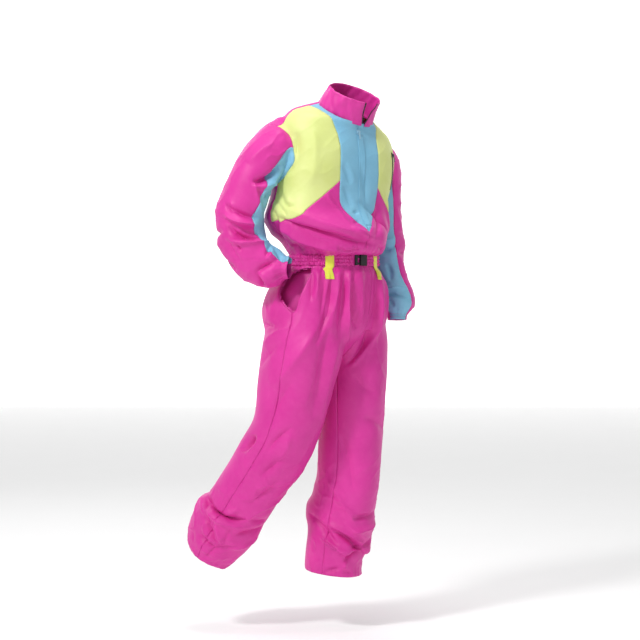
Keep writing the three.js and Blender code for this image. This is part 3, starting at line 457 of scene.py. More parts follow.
def crease(across, height, row):
    """Height of one fold at each point: a ridge or trough along a curve through three points."""
    a1, h1, a2, h2, a3, h3, width, rise, skew = row
    best = np.full(len(across), np.inf)
    best_t = np.zeros(len(across))
    best_side = np.zeros(len(across))
    steps = 14
    t = np.linspace(0, 1, steps + 1)
    mid_a, mid_h = 2 * a2 - (a1 + a3) / 2, 2 * h2 - (h1 + h3) / 2
    line_a = (1 - t) ** 2 * a1 + 2 * t * (1 - t) * mid_a + t * t * a3
    line_h = (1 - t) ** 2 * h1 + 2 * t * (1 - t) * mid_h + t * t * h3
    for i in range(steps):
        da, dh = line_a[i + 1] - line_a[i], line_h[i + 1] - line_h[i]
        along = np.clip(((across - line_a[i]) * da + (height - line_h[i]) * dh) / (da * da + dh * dh), 0, 1)
        off_a, off_h = across - line_a[i] - along * da, height - line_h[i] - along * dh
        distance = np.hypot(off_a, off_h)
        closer = distance < best
        best[closer] = distance[closer]
        best_t[closer] = (i + along[closer]) / steps
        best_side[closer] = np.sign(da * off_h - dh * off_a)[closer]
    taper = np.clip(np.sin(np.pi * np.clip(best_t * 0.98 + 0.01, 0, 1)), 0, 1) ** 0.7
    d = best * best_side
    shape = np.exp(-1.5 * (np.sqrt((d / width) ** 2 + 0.04) - 0.2))
    shape -= 0.45 * abs(skew) * np.exp(-(((d - np.sign(skew) * 1.5 * width) / width) ** 2))
    return 2.3 * rise * shape * taper


def crumpled(points, stretch, length, seed):
    """Even small unevenness, longer along one direction than across it."""
    rng = np.random.default_rng(seed)
    total = np.zeros(len(points))
    stretch = unit(np.array(stretch, float))
    for _ in range(16):
        direction = rng.normal(size=3)
        direction -= stretch * (direction @ stretch) * 0.75
        direction = unit(direction) * 2 * math.pi / (length * rng.uniform(0.6, 1.5))
        total += np.sin(points @ direction + rng.uniform(0, 2 * math.pi))
    return total / 3.0


def wrinkled(points, stretch, length, seed):
    """Small sharp ridges that cross and fade, as in crisp thin cloth."""
    ridge = 1 - np.abs(crumpled(points, stretch, length, seed))
    finer_ridge = 1 - np.abs(crumpled(points, stretch, length * 0.45, seed + 50))
    where = np.clip(0.5 + 0.7 * crumpled(points, (0, 0, 1), length * 2.2, seed + 90), 0, 1)
    return (np.clip(ridge, -0.5, 1) ** 3 + 0.35 * np.clip(finer_ridge, 0, 1) ** 3) * where


FOLD = "view a1 h1 a2 h2 a3 h3 width rise skew"
FRONT, BACK, RIGHT, LEFT = -38, 142, -110, 60
BACK_STRENGTH = 1.4


def creases(*groups):
    """A table of creases from rows grouped by their view; a skew that is left out is zero."""
    full = len(FOLD.split()) - 1
    return table(FOLD, *((view, *row, *[0] * (full - len(row))) for view, *rows in groups for row in rows))


# Creases in each region: where they start, bend and end in a level view, mm; the view is its azimuth
BODICE_CREASES = creases(
    (FRONT,
     (-172, 1254, -40, 1204, 126, 1172, 13, -12), (-150, 1286, -10, 1228, 96, 1204, 13, 5),
     (-170, 1232, -66, 1176, 70, 1152, 13, 7), (-138, 1246, -62, 1193, 7, 1176, 5, -3),
     (-186, 1289, -158, 1200, -131, 1163, 10, -8), (-168, 1255, -146, 1200, -122, 1166, 8, 5),
     (-20, 1322, 4, 1289, 56, 1228, 6, 4, 1), (56, 1226, 90, 1204, 124, 1186, 8, 5, -1),
     (-113, 1508, -110, 1460, -127, 1379, 16, -4), (-155, 1330, -143, 1292, -112, 1286, 9, -3, 1),
     (-182, 1320, -152, 1275, -138, 1262, 8, -2), (-60, 1520, -52, 1440, -66, 1350, 20, 3),
     (131, 1327, 138, 1241, 124, 1193, 10, -5), (30, 1412, 46, 1380, 54, 1352, 8, -3, 1),
     (34, 1346, 48, 1310, 58, 1284, 7, -3), (84, 1420, 96, 1350, 92, 1290, 12, -3),
     (63, 1274, 70, 1268, 78, 1270, 5, -3), (64, 1244, 70, 1238, 78, 1242, 5, -3),
     (-72, 1172, -58, 1152, -47, 1138, 7, -6), (8, 1168, 44, 1150, 82, 1156, 6, -6),
     (-118, 1176, -104, 1160, -92, 1150, 7, -5), (136, 1168, 150, 1152, 162, 1142, 6, -5)),
    (BACK,
     (-150, 1262, 0, 1212, 150, 1250, 14, -8), (-120, 1240, 10, 1186, 130, 1226, 11, 7),
     (-90, 1450, -60, 1380, -62, 1290, 18, 5, 1), (70, 1440, 52, 1360, 60, 1280, 18, 5, -1),
     (-30, 1400, -10, 1330, 6, 1260, 12, -4), (-60, 1190, -48, 1166, -52, 1146, 7, -6),
     (24, 1186, 32, 1166, 22, 1146, 7, -6), (92, 1190, 84, 1170, 88, 1148, 7, -5)),
    (LEFT,
     (-120, 1300, -70, 1240, -40, 1180, 10, -6), (-40, 1330, -10, 1260, 10, 1190, 10, 5)),
)
SLEEVE_R_CREASES = creases(
    (FRONT,
     (-240, 1362, -195, 1368, -159, 1412, 9, -12, -1), (-256, 1416, -215, 1452, -180, 1478, 16, 4),
     (-235, 1360, -227, 1316, -211, 1251, 8, 4, 1), (-322, 1292, -282, 1264, -222, 1250, 9, -10),
     (-305, 1300, -296, 1268, -262, 1246, 9, 4), (-326, 1262, -284, 1240, -225, 1228, 9, 10, -1),
     (-316, 1226, -271, 1196, -216, 1191, 10, -12), (-277, 1219, -251, 1209, -221, 1203, 5, -5),
     (-324, 1192, -263, 1176, -183, 1182, 8, 9), (-288, 1179, -281, 1163, -275, 1151, 6, -5),
     (-185, 1175, -193, 1155, -201, 1135, 6, -6, 1), (-160, 1127, -203, 1107, -233, 1079, 13, -10),
     (-233, 1081, -213, 1057, -203, 1026, 7, -7, 1), (-203, 1310, -186, 1326, -156, 1328, 8, -6, 1),
     (-184, 1362, -166, 1350, -142, 1372, 8, 5), (-214, 1262, -200, 1272, -188, 1262, 6, -4),
     (-183, 1171, -161, 1145, -147, 1113, 6, -7), (-165, 1175, -142, 1150, -130, 1126, 6, 5),
     (-320, 1200, -300, 1150, -268, 1100, 12, -4)),
    (RIGHT,
     (-80, 1420, -40, 1380, 10, 1370, 12, -6), (-60, 1330, -10, 1290, 60, 1280, 14, 2),
     (-90, 1250, -30, 1215, 50, 1220, 9, -8), (-110, 1225, -40, 1185, 40, 1180, 12, 2),
     (-20, 1160, 20, 1120, 60, 1100, 10, -6)),
    (BACK,
     (210, 1400, 250, 1370, 290, 1360, 12, -6), (220, 1270, 270, 1240, 330, 1235, 10, 4),
     (230, 1232, 280, 1205, 330, 1206, 9, -8), (220, 1180, 270, 1160, 320, 1170, 9, 4)),
)
SLEEVE_L_CREASES = creases(
    (FRONT,
     (138, 1172, 162, 1155, 195, 1172, 9, -7), (140, 1200, 160, 1186, 186, 1192, 10, 5),
     (195, 1148, 206, 1146, 220, 1154, 6, -5), (172, 1390, 178, 1352, 176, 1310, 8, -5),
     (186, 1290, 196, 1240, 208, 1210, 10, 4), (158, 1112, 172, 1090, 168, 1064, 8, -5),
     (152, 1034, 180, 1041, 222, 1040, 7, 7, -1), (156, 1020, 186, 1022, 236, 1008, 6, -5),
     (158, 1008, 172, 998, 180, 984, 5, -5)),
    (LEFT,
     (-60, 1380, -20, 1340, 40, 1330, 12, -6), (-70, 1250, -10, 1200, 60, 1210, 12, 4),
     (-60, 1180, 0, 1150, 60, 1164, 10, -5), (-50, 1124, 0, 1100, 50, 1120, 9, 6),
     (-40, 1060, 0, 1046, 46, 1058, 8, -7), (-20, 1020, 20, 1000, 44, 980, 7, 5)),
    (BACK,
     (-240, 1380, -200, 1330, -170, 1320, 12, -6), (-260, 1200, -220, 1176, -180, 1186, 12, 2),
     (-250, 1160, -220, 1140, -180, 1150, 9, -4), (-240, 1060, -210, 1048, -176, 1060, 8, -6)),
)
TROUSER_CREASES = creases(
    (FRONT,
     (-26, 1090, -30, 1020, -36, 960, 9, -5), (-6, 1096, -8, 1000, -50, 872, 12, -9),
     (20, 1096, 12, 1022, 0, 958, 8, 6), (34, 1096, 30, 992, 20, 882, 11, -8),
     (49, 1098, 49, 980, 40, 868, 10, 7), (66, 1094, 60, 982, 74, 918, 10, -9),
     (82, 1096, 84, 1030, 84, 960, 11, 5), (128, 1098, 117, 928, 42, 812, 7, -9, 1),
     (140, 1080, 136, 950, 106, 850, 12, 6), (104, 1094, 106, 1010, 92, 930, 10, -4),
     (-2, 920, -28, 820, -60, 640, 28, -8), (-46, 925, -102, 838, -180, 740, 22, 6),
     (20, 880, -10, 760, -34, 640, 16, 5), (-60, 1092, -62, 1048, -70, 1000, 9, -5),
     (-46, 1094, -46, 1050, -52, 1004, 8, 5), (-208, 936, -192, 929, -176, 929, 5, -4),
     (-126, 926, -176, 900, -212, 860, 14, 5), (-150, 880, -190, 850, -222, 800, 14, -4),
     (-120, 760, -160, 700, -180, 620, 24, -5), (-238, 598, -250, 578, -276, 550, 10, -12),
     (-222, 596, -236, 566, -262, 540, 9, 5), (-117, 625, -170, 585, -198, 545, 14, -5),
     (-138, 537, -178, 508, -220, 474, 12, -5), (-162, 464, -202, 428, -252, 394, 10, -5),
     (-132, 600, -140, 560, -176, 500, 16, 4), (-378, 418, -334, 361, -252, 345, 6, -17),
     (-392, 396, -340, 340, -258, 322, 10, 7), (-362, 400, -320, 352, -236, 350, 9, 5),
     (-330, 366, -304, 368, -280, 378, 7, 5), (-378, 414, -380, 396, -377, 374, 5, -7),
     (-380, 372, -368, 312, -340, 262, 8, -7), (-404, 304, -380, 279, -352, 257, 7, -6),
     (-360, 340, -344, 300, -336, 272, 9, 5), (-302, 332, -318, 299, -334, 263, 5, -3),
     (-420, 316, -422, 298, -420, 280, 5, -3), (-387, 224, -355, 256, -290, 266, 5, -4),
     (-250, 350, -222, 340, -190, 352, 8, -5), (-13, 466, 23, 404, 75, 324, 13, 5),
     (20, 600, 46, 520, 60, 430, 18, -4), (-73, 364, -32, 324, 15, 263, 7, -6),
     (-20, 336, 46, 300, 104, 262, 10, 8), (-2, 314, 52, 282, 98, 246, 7, -14),
     (-37, 296, 3, 264, 66, 236, 8, 8), (30, 340, 70, 310, 110, 286, 12, 5),
     (106, 238, 62, 238, 34, 216, 6, -12), (-29, 187, -5, 195, 27, 199, 5, -5),
     (27, 199, 43, 188, 60, 179, 5, -4), (46, 226, 36, 210, 40, 190, 7, 4),
     (80, 1010, 88, 960, 84, 930, 6, 3), (60, 780, 96, 740, 130, 730, 14, -3)),
    (BACK,
     (-100, 1090, -96, 1030, -80, 970, 12, -7), (-60, 1090, -56, 1030, -50, 960, 12, 7),
     (-20, 1090, -24, 1020, -20, 950, 12, -7), (30, 1090, 30, 1020, 36, 950, 12, 6),
     (80, 1090, 76, 1030, 84, 960, 12, -6), (130, 1080, 120, 1010, 130, 940, 12, 6),
     (-40, 900, 0, 858, 40, 880, 12, -6), (60, 900, 120, 860, 180, 850, 14, 6),
     (-150, 880, -110, 840, -60, 850, 14, -5), (230, 600, 270, 566, 320, 560, 12, -9),
     (210, 560, 250, 520, 320, 510, 11, 6), (260, 440, 300, 400, 350, 396, 9, -8),
     (300, 380, 340, 340, 400, 350, 9, 7), (310, 330, 350, 292, 400, 290, 8, -8),
     (300, 262, 340, 240, 380, 250, 7, 5), (-120, 620, -60, 560, -20, 540, 16, -6),
     (-120, 420, -60, 380, 0, 376, 10, -8), (-110, 380, -50, 342, 20, 350, 9, 7),
     (-100, 330, -50, 300, 20, 310, 8, -8), (-90, 260, -40, 240, 10, 256, 8, 5)),
    (LEFT,
     (-40, 1080, -30, 1000, -20, 930, 12, -6), (20, 1080, 24, 1010, 30, 930, 12, 6),
     (-60, 700, -20, 640, 60, 600, 18, -5), (-70, 380, 0, 340, 70, 350, 9, -8),
     (-60, 330, 10, 300, 70, 320, 9, 7), (-50, 270, 10, 250, 60, 262, 8, -7)),
)


def folded(points, triangles, share, folds):
    """Points moved along the surface's normals by a region's creases."""
    normals = normals_of(points, triangles)
    lift = np.zeros(len(points))
    for i in range(len(folds["rise"])):
        row = [folds[name][i] for name in FOLD.split()[1:]]
        azimuth = folds["view"][i]
        row[7] *= BACK_STRENGTH if azimuth == BACK else 1
        facing = eased(normals @ toward(azimuth), -0.05, 0.4) * share
        reach = 3 * row[6]
        across, height = seen_from(points, azimuth)
        low_a, high_a = min(row[0:6:2]) - reach, max(row[0:6:2]) + reach
        low_h, high_h = min(row[1:6:2]) - reach, max(row[1:6:2]) + reach
        near = (facing > 0) & (across > low_a) & (across < high_a) & (height > low_h) & (height < high_h)
        lift[near] += crease(across[near], height[near], row) * facing[near]
    return points + normals * lift[:, None]


def gathered(points, triangles, angle, share, count, depth, seed):
    """Small uneven ripples side by side round a tube, deepest where share is one."""
    rng = np.random.default_rng(seed)
    turn = np.radians(angle)
    wave = np.zeros(len(points))
    for times in (count, round(count * 1.37), round(count * 0.61)):
        bend = 0.35 * np.sin(turn * round(times / 6) + rng.uniform(0, 6.28))
        wave += np.sin(turn * times + 2.4 * bend + rng.uniform(0, 6.28))
    wave = (1 - np.abs(wave / 2.2)) - 0.5
    return points + normals_of(points, triangles) * (wave * depth * share)[:, None]


# Seams: how far each point lies past a seam, mm
def heights(points):
    return points[:, 2] + HOLD_HEIGHT


ARMHOLE_SLANT = 0.4


def past_armhole(points, seam, side):
    """On the right the sleeve hangs behind the blouse, so the parting between them slants."""
    slant = ARMHOLE_SLANT * (30 - points[:, 1]) * (1 - eased(heights(points), 1330, 1420)) * (side < 0)
    return side * points[:, 0] - smooth(heights(points), seam["height"], seam["x"]) - slant


def behind_shoulder(points):
    tip = 16 * eased(-points[:, 0], 120, 195) * eased(heights(points), 1440, 1500)
    return points[:, 1] - smooth(heights(points), SHOULDER_SEAM["height"], SHOULDER_SEAM["y"]) - tip


def inside_blue(points):
    return smooth(heights(points), BLUE_EDGE["height"], BLUE_EDGE["x"]) - np.abs(points[:, 0])


def above_yellow(points):
    x = np.abs(points[:, 0])
    right = np.interp(x, YELLOW_EDGE_R["x"], YELLOW_EDGE_R["height"])
    left = np.interp(x, YELLOW_EDGE_L["x"], YELLOW_EDGE_L["height"])
    return heights(points) - np.where(points[:, 0] < 0, right, left)


def tube_place(points, rows, outward):
    """Where points are on a tube: along it, round it in degrees and past its end, and the tube's length."""
    fine = finer(rows, 4.0)
    centre, along, out, fore = path_frames(fine, outward)
    length = np.concatenate([[0], np.cumsum(np.linalg.norm(np.diff(centre, axis=0), axis=1))])
    nearest = np.zeros(len(points), int)
    for start in range(0, len(points), 4000):
        part = points[start:start + 4000]
        nearest[start:start + 4000] = ((part[:, None] - centre[None]) ** 2).sum(2).argmin(1)
    away = points - centre[nearest]
    a = (away * out[nearest]).sum(1)
    b = (away * fore[nearest]).sum(1)
    a = a / np.where(a > 0, fine["out"][nearest], fine["inn"][nearest])
    b = b / np.where(b > 0, fine["fore"][nearest], fine["aft"][nearest])
    angle = np.degrees(np.arctan2(b, a)) % 360
    past = (points - centre[-1]) @ along[-1]
    return length[nearest], angle, past, length[-1]


def body_angle(points, x=0.0, y=0.0):
    return np.degrees(np.arctan2(-(points[:, 1] - y), points[:, 0] - x)) % 360


def stride_apart(points):
    turn = math.radians(STEP_TURN)
    stride = points[:, 0] * math.sin(turn) - points[:, 1] * math.cos(turn)
    apart = points[:, 0] * math.cos(turn) + points[:, 1] * math.sin(turn)
    return stride, apart


def rounded_outline(us, vs, steps=8):
    """A closed outline through points, with its corners eased."""
    corners = np.stack([us, vs], axis=1)
    t = np.linspace(0, 1, steps, endpoint=False)[:, None]
    parts = []
    for i in range(len(corners)):
        p0, p1, p2, p3 = (corners[(i + k) % len(corners)] for k in (-1, 0, 1, 2))
        parts.append(0.5 * (2 * p1 + (p2 - p0) * t + (2 * p0 - 5 * p1 + 4 * p2 - p3) * t**2
                            + (3 * p1 - p0 - 3 * p2 + p3) * t**3))
    return np.concatenate(parts)


def inside_outline(u, v, outline):
    """Distance inside a closed outline, negative outside it."""
    best = np.full(len(u), np.inf)
    inside = np.zeros(len(u), bool)
    for (u1, v1), (u2, v2) in zip(outline, np.roll(outline, -1, axis=0)):
        du, dv = u2 - u1, v2 - v1
        t = np.clip(((u - u1) * du + (v - v1) * dv) / max(du * du + dv * dv, 1e-9), 0, 1)
        best = np.minimum(best, np.hypot(u - u1 - t * du, v - v1 - t * dv))
        if v1 != v2:
            crosses = (v1 > v) != (v2 > v)
            inside ^= crosses & (u < u1 + (v - v1) / (v2 - v1) * du)
    return np.where(inside, best, -best)


# Cutting a form into its pieces
def snapped(points, edges, level, where, fixed):
    """Points next to a seam moved onto it, so that no triangle lies across it."""
    a, b = edges[where[edges[:, 0]] & where[edges[:, 1]]].T
    crossing = level[a] * level[b] < 0
    a, b = a[crossing], b[crossing]
    t = level[a] / (level[a] - level[b])
    take_a = np.where(fixed[a] == fixed[b], t < 0.5, fixed[b])
    near = np.where(take_a, a, b)
    order = np.argsort(-np.where(take_a, t, 1 - t))
    place = points[a] + (points[b] - points[a]) * t[:, None]
    points, level, fixed = points.copy(), level.copy(), fixed.copy()
    points[near[order]] = place[order]
    level[near] = 0
    fixed[near] = True
    return points, level, fixed


def side_of(triangles, level):
    """True for triangles on the positive side of a snapped seam."""
    corners = level[triangles]
    strongest = np.abs(corners).argmax(1)
    return corners[np.arange(len(triangles)), strongest] > 0


class Form:
    """A closed form that is creased and then parted along its seams."""

    def __init__(self, points, triangles):
        self.points, self.triangles = points, triangles
        self.edges = edges_of(triangles)
        self.fixed = np.zeros(len(points), bool)
        self.seams = []

    def relax(self, times, weight=None):
        self.points = relaxed(self.points, self.edges, times, weight)

    def fold(self, share, folds):
        self.points = folded(self.points, self.triangles, share, folds)

    def gather(self, angle, share, count, depth, seed):
        self.points = gathered(self.points, self.triangles, angle, share, count, depth, seed)

    def lift(self, amount):
        normals = normals_of(self.points, self.triangles)
        self.points = self.points + normals * np.asarray(amount)[:, None]

    def press_seams(self, depth=0.9, pucker=0.5):
        """Seams drawn in a little and unevenly, with the cloth beside them puckered."""
        near = relaxed(self.fixed.astype(float)[:, None] * np.ones((1, 3)), self.edges, 2)[:, 0]
        waver = crumpled(self.points, (0, 0, 0.01), 26, 71)
        self.lift(-depth * self.fixed + pucker * waver * near - 0.3 * near)

    def part(self, level_of, where=None):
        """Which triangles lie past a seam, once its points are moved onto it."""
        level = level_of(self.points)
        inside = np.ones(len(self.points), bool)
        if where is not None:
            inside = np.zeros(len(self.points), bool)
            inside[self.triangles[where].ravel()] = True
        self.points, level, self.fixed = snapped(self.points, self.edges, level, inside, self.fixed)
        return side_of(self.triangles, level)


# Materials
def srgb(code):
    parts = [int(code[i:i + 2], 16) / 255 for i in (0, 2, 4)]
    return [p / 12.92 if p < 0.04045 else ((p + 0.055) / 1.055) ** 2.4 for p in parts] + [1.0]


def add(tree, kind, **inputs):
    node = tree.nodes.new(kind)
    for name, value in inputs.items():
        socket = node.inputs[name.replace("_", " ")]
        if isinstance(value, bpy.types.NodeSocket):
            tree.links.new(value, socket)
        else:
            socket.default_value = value
    return node


def shaded(name, roughness, **constants):
    """A material with a plain shader, its node tree, its shader and the object's own coordinates."""
    material = bpy.data.materials.new(name)
    material.use_nodes = True
    tree = material.node_tree
    shader = tree.nodes["Principled BSDF"]
    shader.inputs["Roughness"].default_value = roughness
    for key, value in constants.items():
        shader.inputs[key.replace("_", " ")].default_value = value
    place = tree.nodes.new("ShaderNodeTexCoord").outputs["Object"]
    return material, tree, shader, place


def mixed(tree, share, first, second):
    mix = add(tree, "ShaderNodeMix", Factor=share)
    mix.data_type = "RGBA"
    for i, value in ((6, first), (7, second)):
        if isinstance(value, bpy.types.NodeSocket):
            tree.links.new(value, mix.inputs[i])
        else:
            mix.inputs[i].default_value = value
    return mix.outputs[2]


def nylon(name, colour, deep, light):
    """Thin shiny taffeta: fine crossed threads, soft crumpling and slightly uneven dye."""
    sheen = {"Sheen_Weight": 0.15, "Sheen_Roughness": 0.4, "Specular_IOR_Level": 0.4}
    material, tree, shader, place = shaded(name, 0.5, **sheen)
    shader.inputs["Sheen Tint"].default_value = srgb(light)
    cloud = add(tree, "ShaderNodeTexNoise", Vector=place, Scale=9.0, Detail=3.0, Roughness=0.55).outputs[0]
    ramp = add(tree, "ShaderNodeMapRange", Value=cloud, From_Min=0.3, From_Max=0.7).outputs[0]
    worn = add(tree, "ShaderNodeTexNoise", Vector=place, Scale=70.0, Detail=2.0).outputs[0]
    base = mixed(tree, ramp, srgb(colour), srgb(deep))
    faint = add(tree, "ShaderNodeMapRange", Value=worn, From_Min=0.45, From_Max=0.8, To_Max=0.05).outputs[0]
    tree.links.new(mixed(tree, faint, base, srgb(light)), shader.inputs["Base Color"])
    rough = add(tree, "ShaderNodeMapRange", Value=worn, To_Min=0.46, To_Max=0.54).outputs[0]
    tree.links.new(rough, shader.inputs["Roughness"])
    crumple = {"Scale": 17.0, "Detail": 1.0, "Roughness": 0.3, "Distortion": 1.2}
    crumple = add(tree, "ShaderNodeTexNoise", Vector=place, **crumple)
    height = add(tree, "ShaderNodeBump", Height=crumple.outputs[0], Strength=0.16, Distance=0.0022)
    for direction in ("X", "Z"):
        threads = add(tree, "ShaderNodeTexWave", Vector=place, Scale=520.0, Distortion=0.4)
        threads.bands_direction = direction
        height = add(tree, "ShaderNodeBump", Height=threads.outputs["Fac"], Strength=0.06, Distance=0.0002,
                     Normal=height.outputs[0])
    tree.links.new(height.outputs[0], shader.inputs["Normal"])
    return material


def webbing(name, colour, deep):
    """Narrow woven tape with ribs across it."""
    material, tree, shader, place = shaded(name, 0.6, Sheen_Weight=0.2)
    ribs = add(tree, "ShaderNodeTexWave", Vector=place, Scale=260.0, Distortion=0.3)
    ribs.bands_direction = "Z"
    tree.links.new(mixed(tree, ribs.outputs["Fac"], srgb(colour), srgb(deep)), shader.inputs["Base Color"])
    bump = add(tree, "ShaderNodeBump", Height=ribs.outputs["Fac"], Strength=0.35, Distance=0.0004)
    tree.links.new(bump.outputs[0], shader.inputs["Normal"])
    return material


def moulded(name, colour, deep, metal=0.0, roughness=0.4):
    """Moulded plastic or painted metal with a fine grain and slightly rubbed high spots."""
    material, tree, shader, place = shaded(name, roughness, Metallic=metal)
    grain = add(tree, "ShaderNodeTexNoise", Vector=place, Scale=900.0, Detail=2.0).outputs[0]
    cloud = add(tree, "ShaderNodeTexNoise", Vector=place, Scale=120.0, Detail=2.0).outputs[0]
    tree.links.new(mixed(tree, cloud, srgb(colour), srgb(deep)), shader.inputs["Base Color"])
    bump = add(tree, "ShaderNodeBump", Height=grain, Strength=0.2, Distance=0.0002)
    tree.links.new(bump.outputs[0], shader.inputs["Normal"])
    return material


PINK = nylon("pink_nylon", "DA369D", "CE2A92", "F07FC4")
BLUE = nylon("blue_nylon", "82BDD9", "74B1D0", "B4DBEA")
YELLOW = nylon("yellow_nylon", "D9E292", "CFD97F", "F1F6C2")
YELLOW_TAPE = webbing("yellow_tape", "EDF25A", "DDE63C")
BLACK_TAPE = webbing("black_tape", "17161A", "0D0C10")
BLACK_PLASTIC = moulded("black_plastic", "1B1A20", "131217")
SLIDER_PAINT = moulded("slider_paint", "A6CDE0", "8EBBD3", metal=0.2, roughness=0.32)
PINK_THREAD = moulded("pink_thread", "D42F93", "B92480", roughness=0.55)
BLUE_THREAD = moulded("blue_thread", "8CC4DE", "6FAECD", roughness=0.55)
YELLOW_THREAD = moulded("yellow_thread", "DDE65C", "C8D14A", roughness=0.55)


# Pieces
SUIT = "suit"


def finished(obj, material, nodes=(), smooth_shaded=True):
    obj.data.materials.clear()
    obj.data.materials.append(material)
    for face in obj.data.polygons:
        face.use_smooth = smooth_shaded
    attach(obj, SUIT)
    if nodes:
        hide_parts(*nodes)
    return obj


def thickened(obj, thick=CLOTH_THICK, offset=-1.0):
    shell = obj.modifiers.new("thickness", "SOLIDIFY")
    shell.thickness = thick * MM
    shell.offset = offset
    return obj


def cloth(name, form, keep, material):
    """A panel of a form as its own thin cloth piece."""
    triangles = form.triangles[keep]
    used, inverse = np.unique(triangles, return_inverse=True)
    obj = new_mesh(name + "_cloth", form.points[used], inverse.reshape(-1, 3))
    thickened(obj)
    finished(obj, material, [name])


def grid_faces(rows, columns, closed=False):
    faces = []
    for i in range(rows - 1):
        for k in range(columns - (0 if closed else 1)):
            a, b = i * columns + k, i * columns + (k + 1) % columns
            faces.append((a, b, b + columns, a + columns))
    return faces


def grid(name, points, closed=False):
    points = np.asarray(points)
    rows, columns = points.shape[:2]
    return new_mesh(name, points.reshape(-1, 3), grid_faces(rows, columns, closed))


# Bodice and sleeves
def neck_level(points):
    row = {name: COLLAR[name][0] for name in LEVEL.split()}
    across = (points[:, 0] - row["x"]) / row["right"]
    fore = -(points[:, 1] - row["y"]) / ((row["front"] + row["back"]) / 2)
    near = np.hypot(points[:, 0] - row["x"], points[:, 1] - row["y"]) < 1.6 * row["right"]
    plane = row["height"] - row["dip"] * fore - row["drop"] * across
    return np.where(near, plane - 0.4 - heights(points), FAR_INSIDE)


bodice_tube = past_end(level_rings(finer(BODICE), BODICE_FOLDS), True, True)
sleeve_tubes = [
    past_end(path_rings(finer(rows), outward), False, True) for rows, outward in SLEEVES.values()
]
upper = Form(*joined_form("upper", [bodice_tube, *sleeve_tubes], VOXEL_UPPER))
upper.relax(6)
share = {side: eased(past_armhole(upper.points, *ARMHOLES[side]), -4, 6) for side in "RL"}
share_body = (1 - share["R"]) * (1 - share["L"])
height = heights(upper.points)
upper.fold(share_body, BODICE_CREASES)
upper.fold(share["R"], SLEEVE_R_CREASES)
upper.fold(share["L"], SLEEVE_L_CREASES)
sleeve_places = {side: tube_place(upper.points, *SLEEVES[side]) for side in "RL"}
WAIST_TOP = 1136
BLOUSE_SMOOTH = 0.65
waist = np.exp(-(((height - WAIST_TOP - 6) / 22) ** 2)) * (height > WAIST_TOP - 20) * share_body
upper.gather(body_angle(upper.points), waist, count=46, depth=6.0, seed=3)
uneven = 1.2 * crumpled(upper.points, stretch=(0.3, 0, 1), length=130, seed=5)
upper.lift(uneven * share_body * eased(height, 1150, 1200))
upper.lift(1.0 * crumpled(upper.points, stretch=(0.5, 0.2, 1), length=90, seed=6) * share["R"])
upper.lift(1.0 * crumpled(upper.points, stretch=(-0.2, 0.1, 1), length=90, seed=7) * share["L"])
small = 3.0 * wrinkled(upper.points, stretch=(1, 0, 0.4), length=110, seed=31)
upper.lift(small * share_body * (1 - BLOUSE_SMOOTH * eased(height, 1220, 1290)))
upper.lift(3.2 * wrinkled(upper.points, stretch=(0.8, -0.6, 0.5), length=80, seed=32) * share["R"])
upper.lift(3.0 * wrinkled(upper.points, stretch=(0.8, 0.5, 0.3), length=80, seed=33) * share["L"])
for side, seed in (("R", 8), ("L", 9)):
    along, angle, _, length = sleeve_places[side]
    cuff = np.exp(-(((length - along - 20) / 16) ** 2)) * share[side]
    upper.gather(angle, cuff, count=19, depth=5.5, seed=seed)
upper.relax(1)


def blue_stripe(side):
    def level(points):
        along, angle, _, length = tube_place(points, *SLEEVES[side])
        turned = eased(length - along, SLEEVE_BLUE["turned_over"], 0)
        middle = SLEEVE_BLUE["middle"] - SLEEVE_BLUE[f"turn_{side}"] * turned
        return (SLEEVE_BLUE["half"] - np.abs(wrapped(angle - middle))) * SLEEVE_BLUE["arc"]
    return level


# Parting the upper form: seams in order, each with the triangles it runs through
WAIST_CUT = {"upper": 1122.4, "lower": 1121.4}
above_waist = upper.part(lambda p: heights(p) - WAIST_CUT["upper"])
below_neck = upper.part(neck_level)
sleeve = {side: upper.part(lambda p: past_armhole(p, *ARMHOLES[side])) for side in "RL"}
before_end = {side: upper.part(lambda p: -tube_place(p, *SLEEVES[side])[2], sleeve[side]) for side in "RL"}
stripe = {side: upper.part(blue_stripe(side), sleeve[side]) for side in "RL"}
body = above_waist & below_neck & ~sleeve["R"] & ~sleeve["L"]
back = upper.part(behind_shoulder, body)
front = body & ~back
blue = upper.part(inside_blue, front)
yellow = upper.part(above_yellow, front & ~blue)
left_half = upper.part(lambda p: p[:, 0], front)
upper.press_seams()

for side, half in (("R", ~left_half), ("L", left_half)):
    for colour, kept, material in (
        ("blue", blue, BLUE), ("yellow", ~blue & yellow, YELLOW), ("pink", ~blue & ~yellow, PINK),
    ):
        cloth(f"bodice_front_{colour}_{side}", upper, front & half & kept, material)
cloth("bodice_back", upper, back & body, PINK)
for side in "RL":
    kept = sleeve[side] & before_end[side]
    cloth(f"sleeve_pink_{side}", upper, kept & ~stripe[side], PINK)
    cloth(f"sleeve_blue_{side}", upper, kept & stripe[side], BLUE)

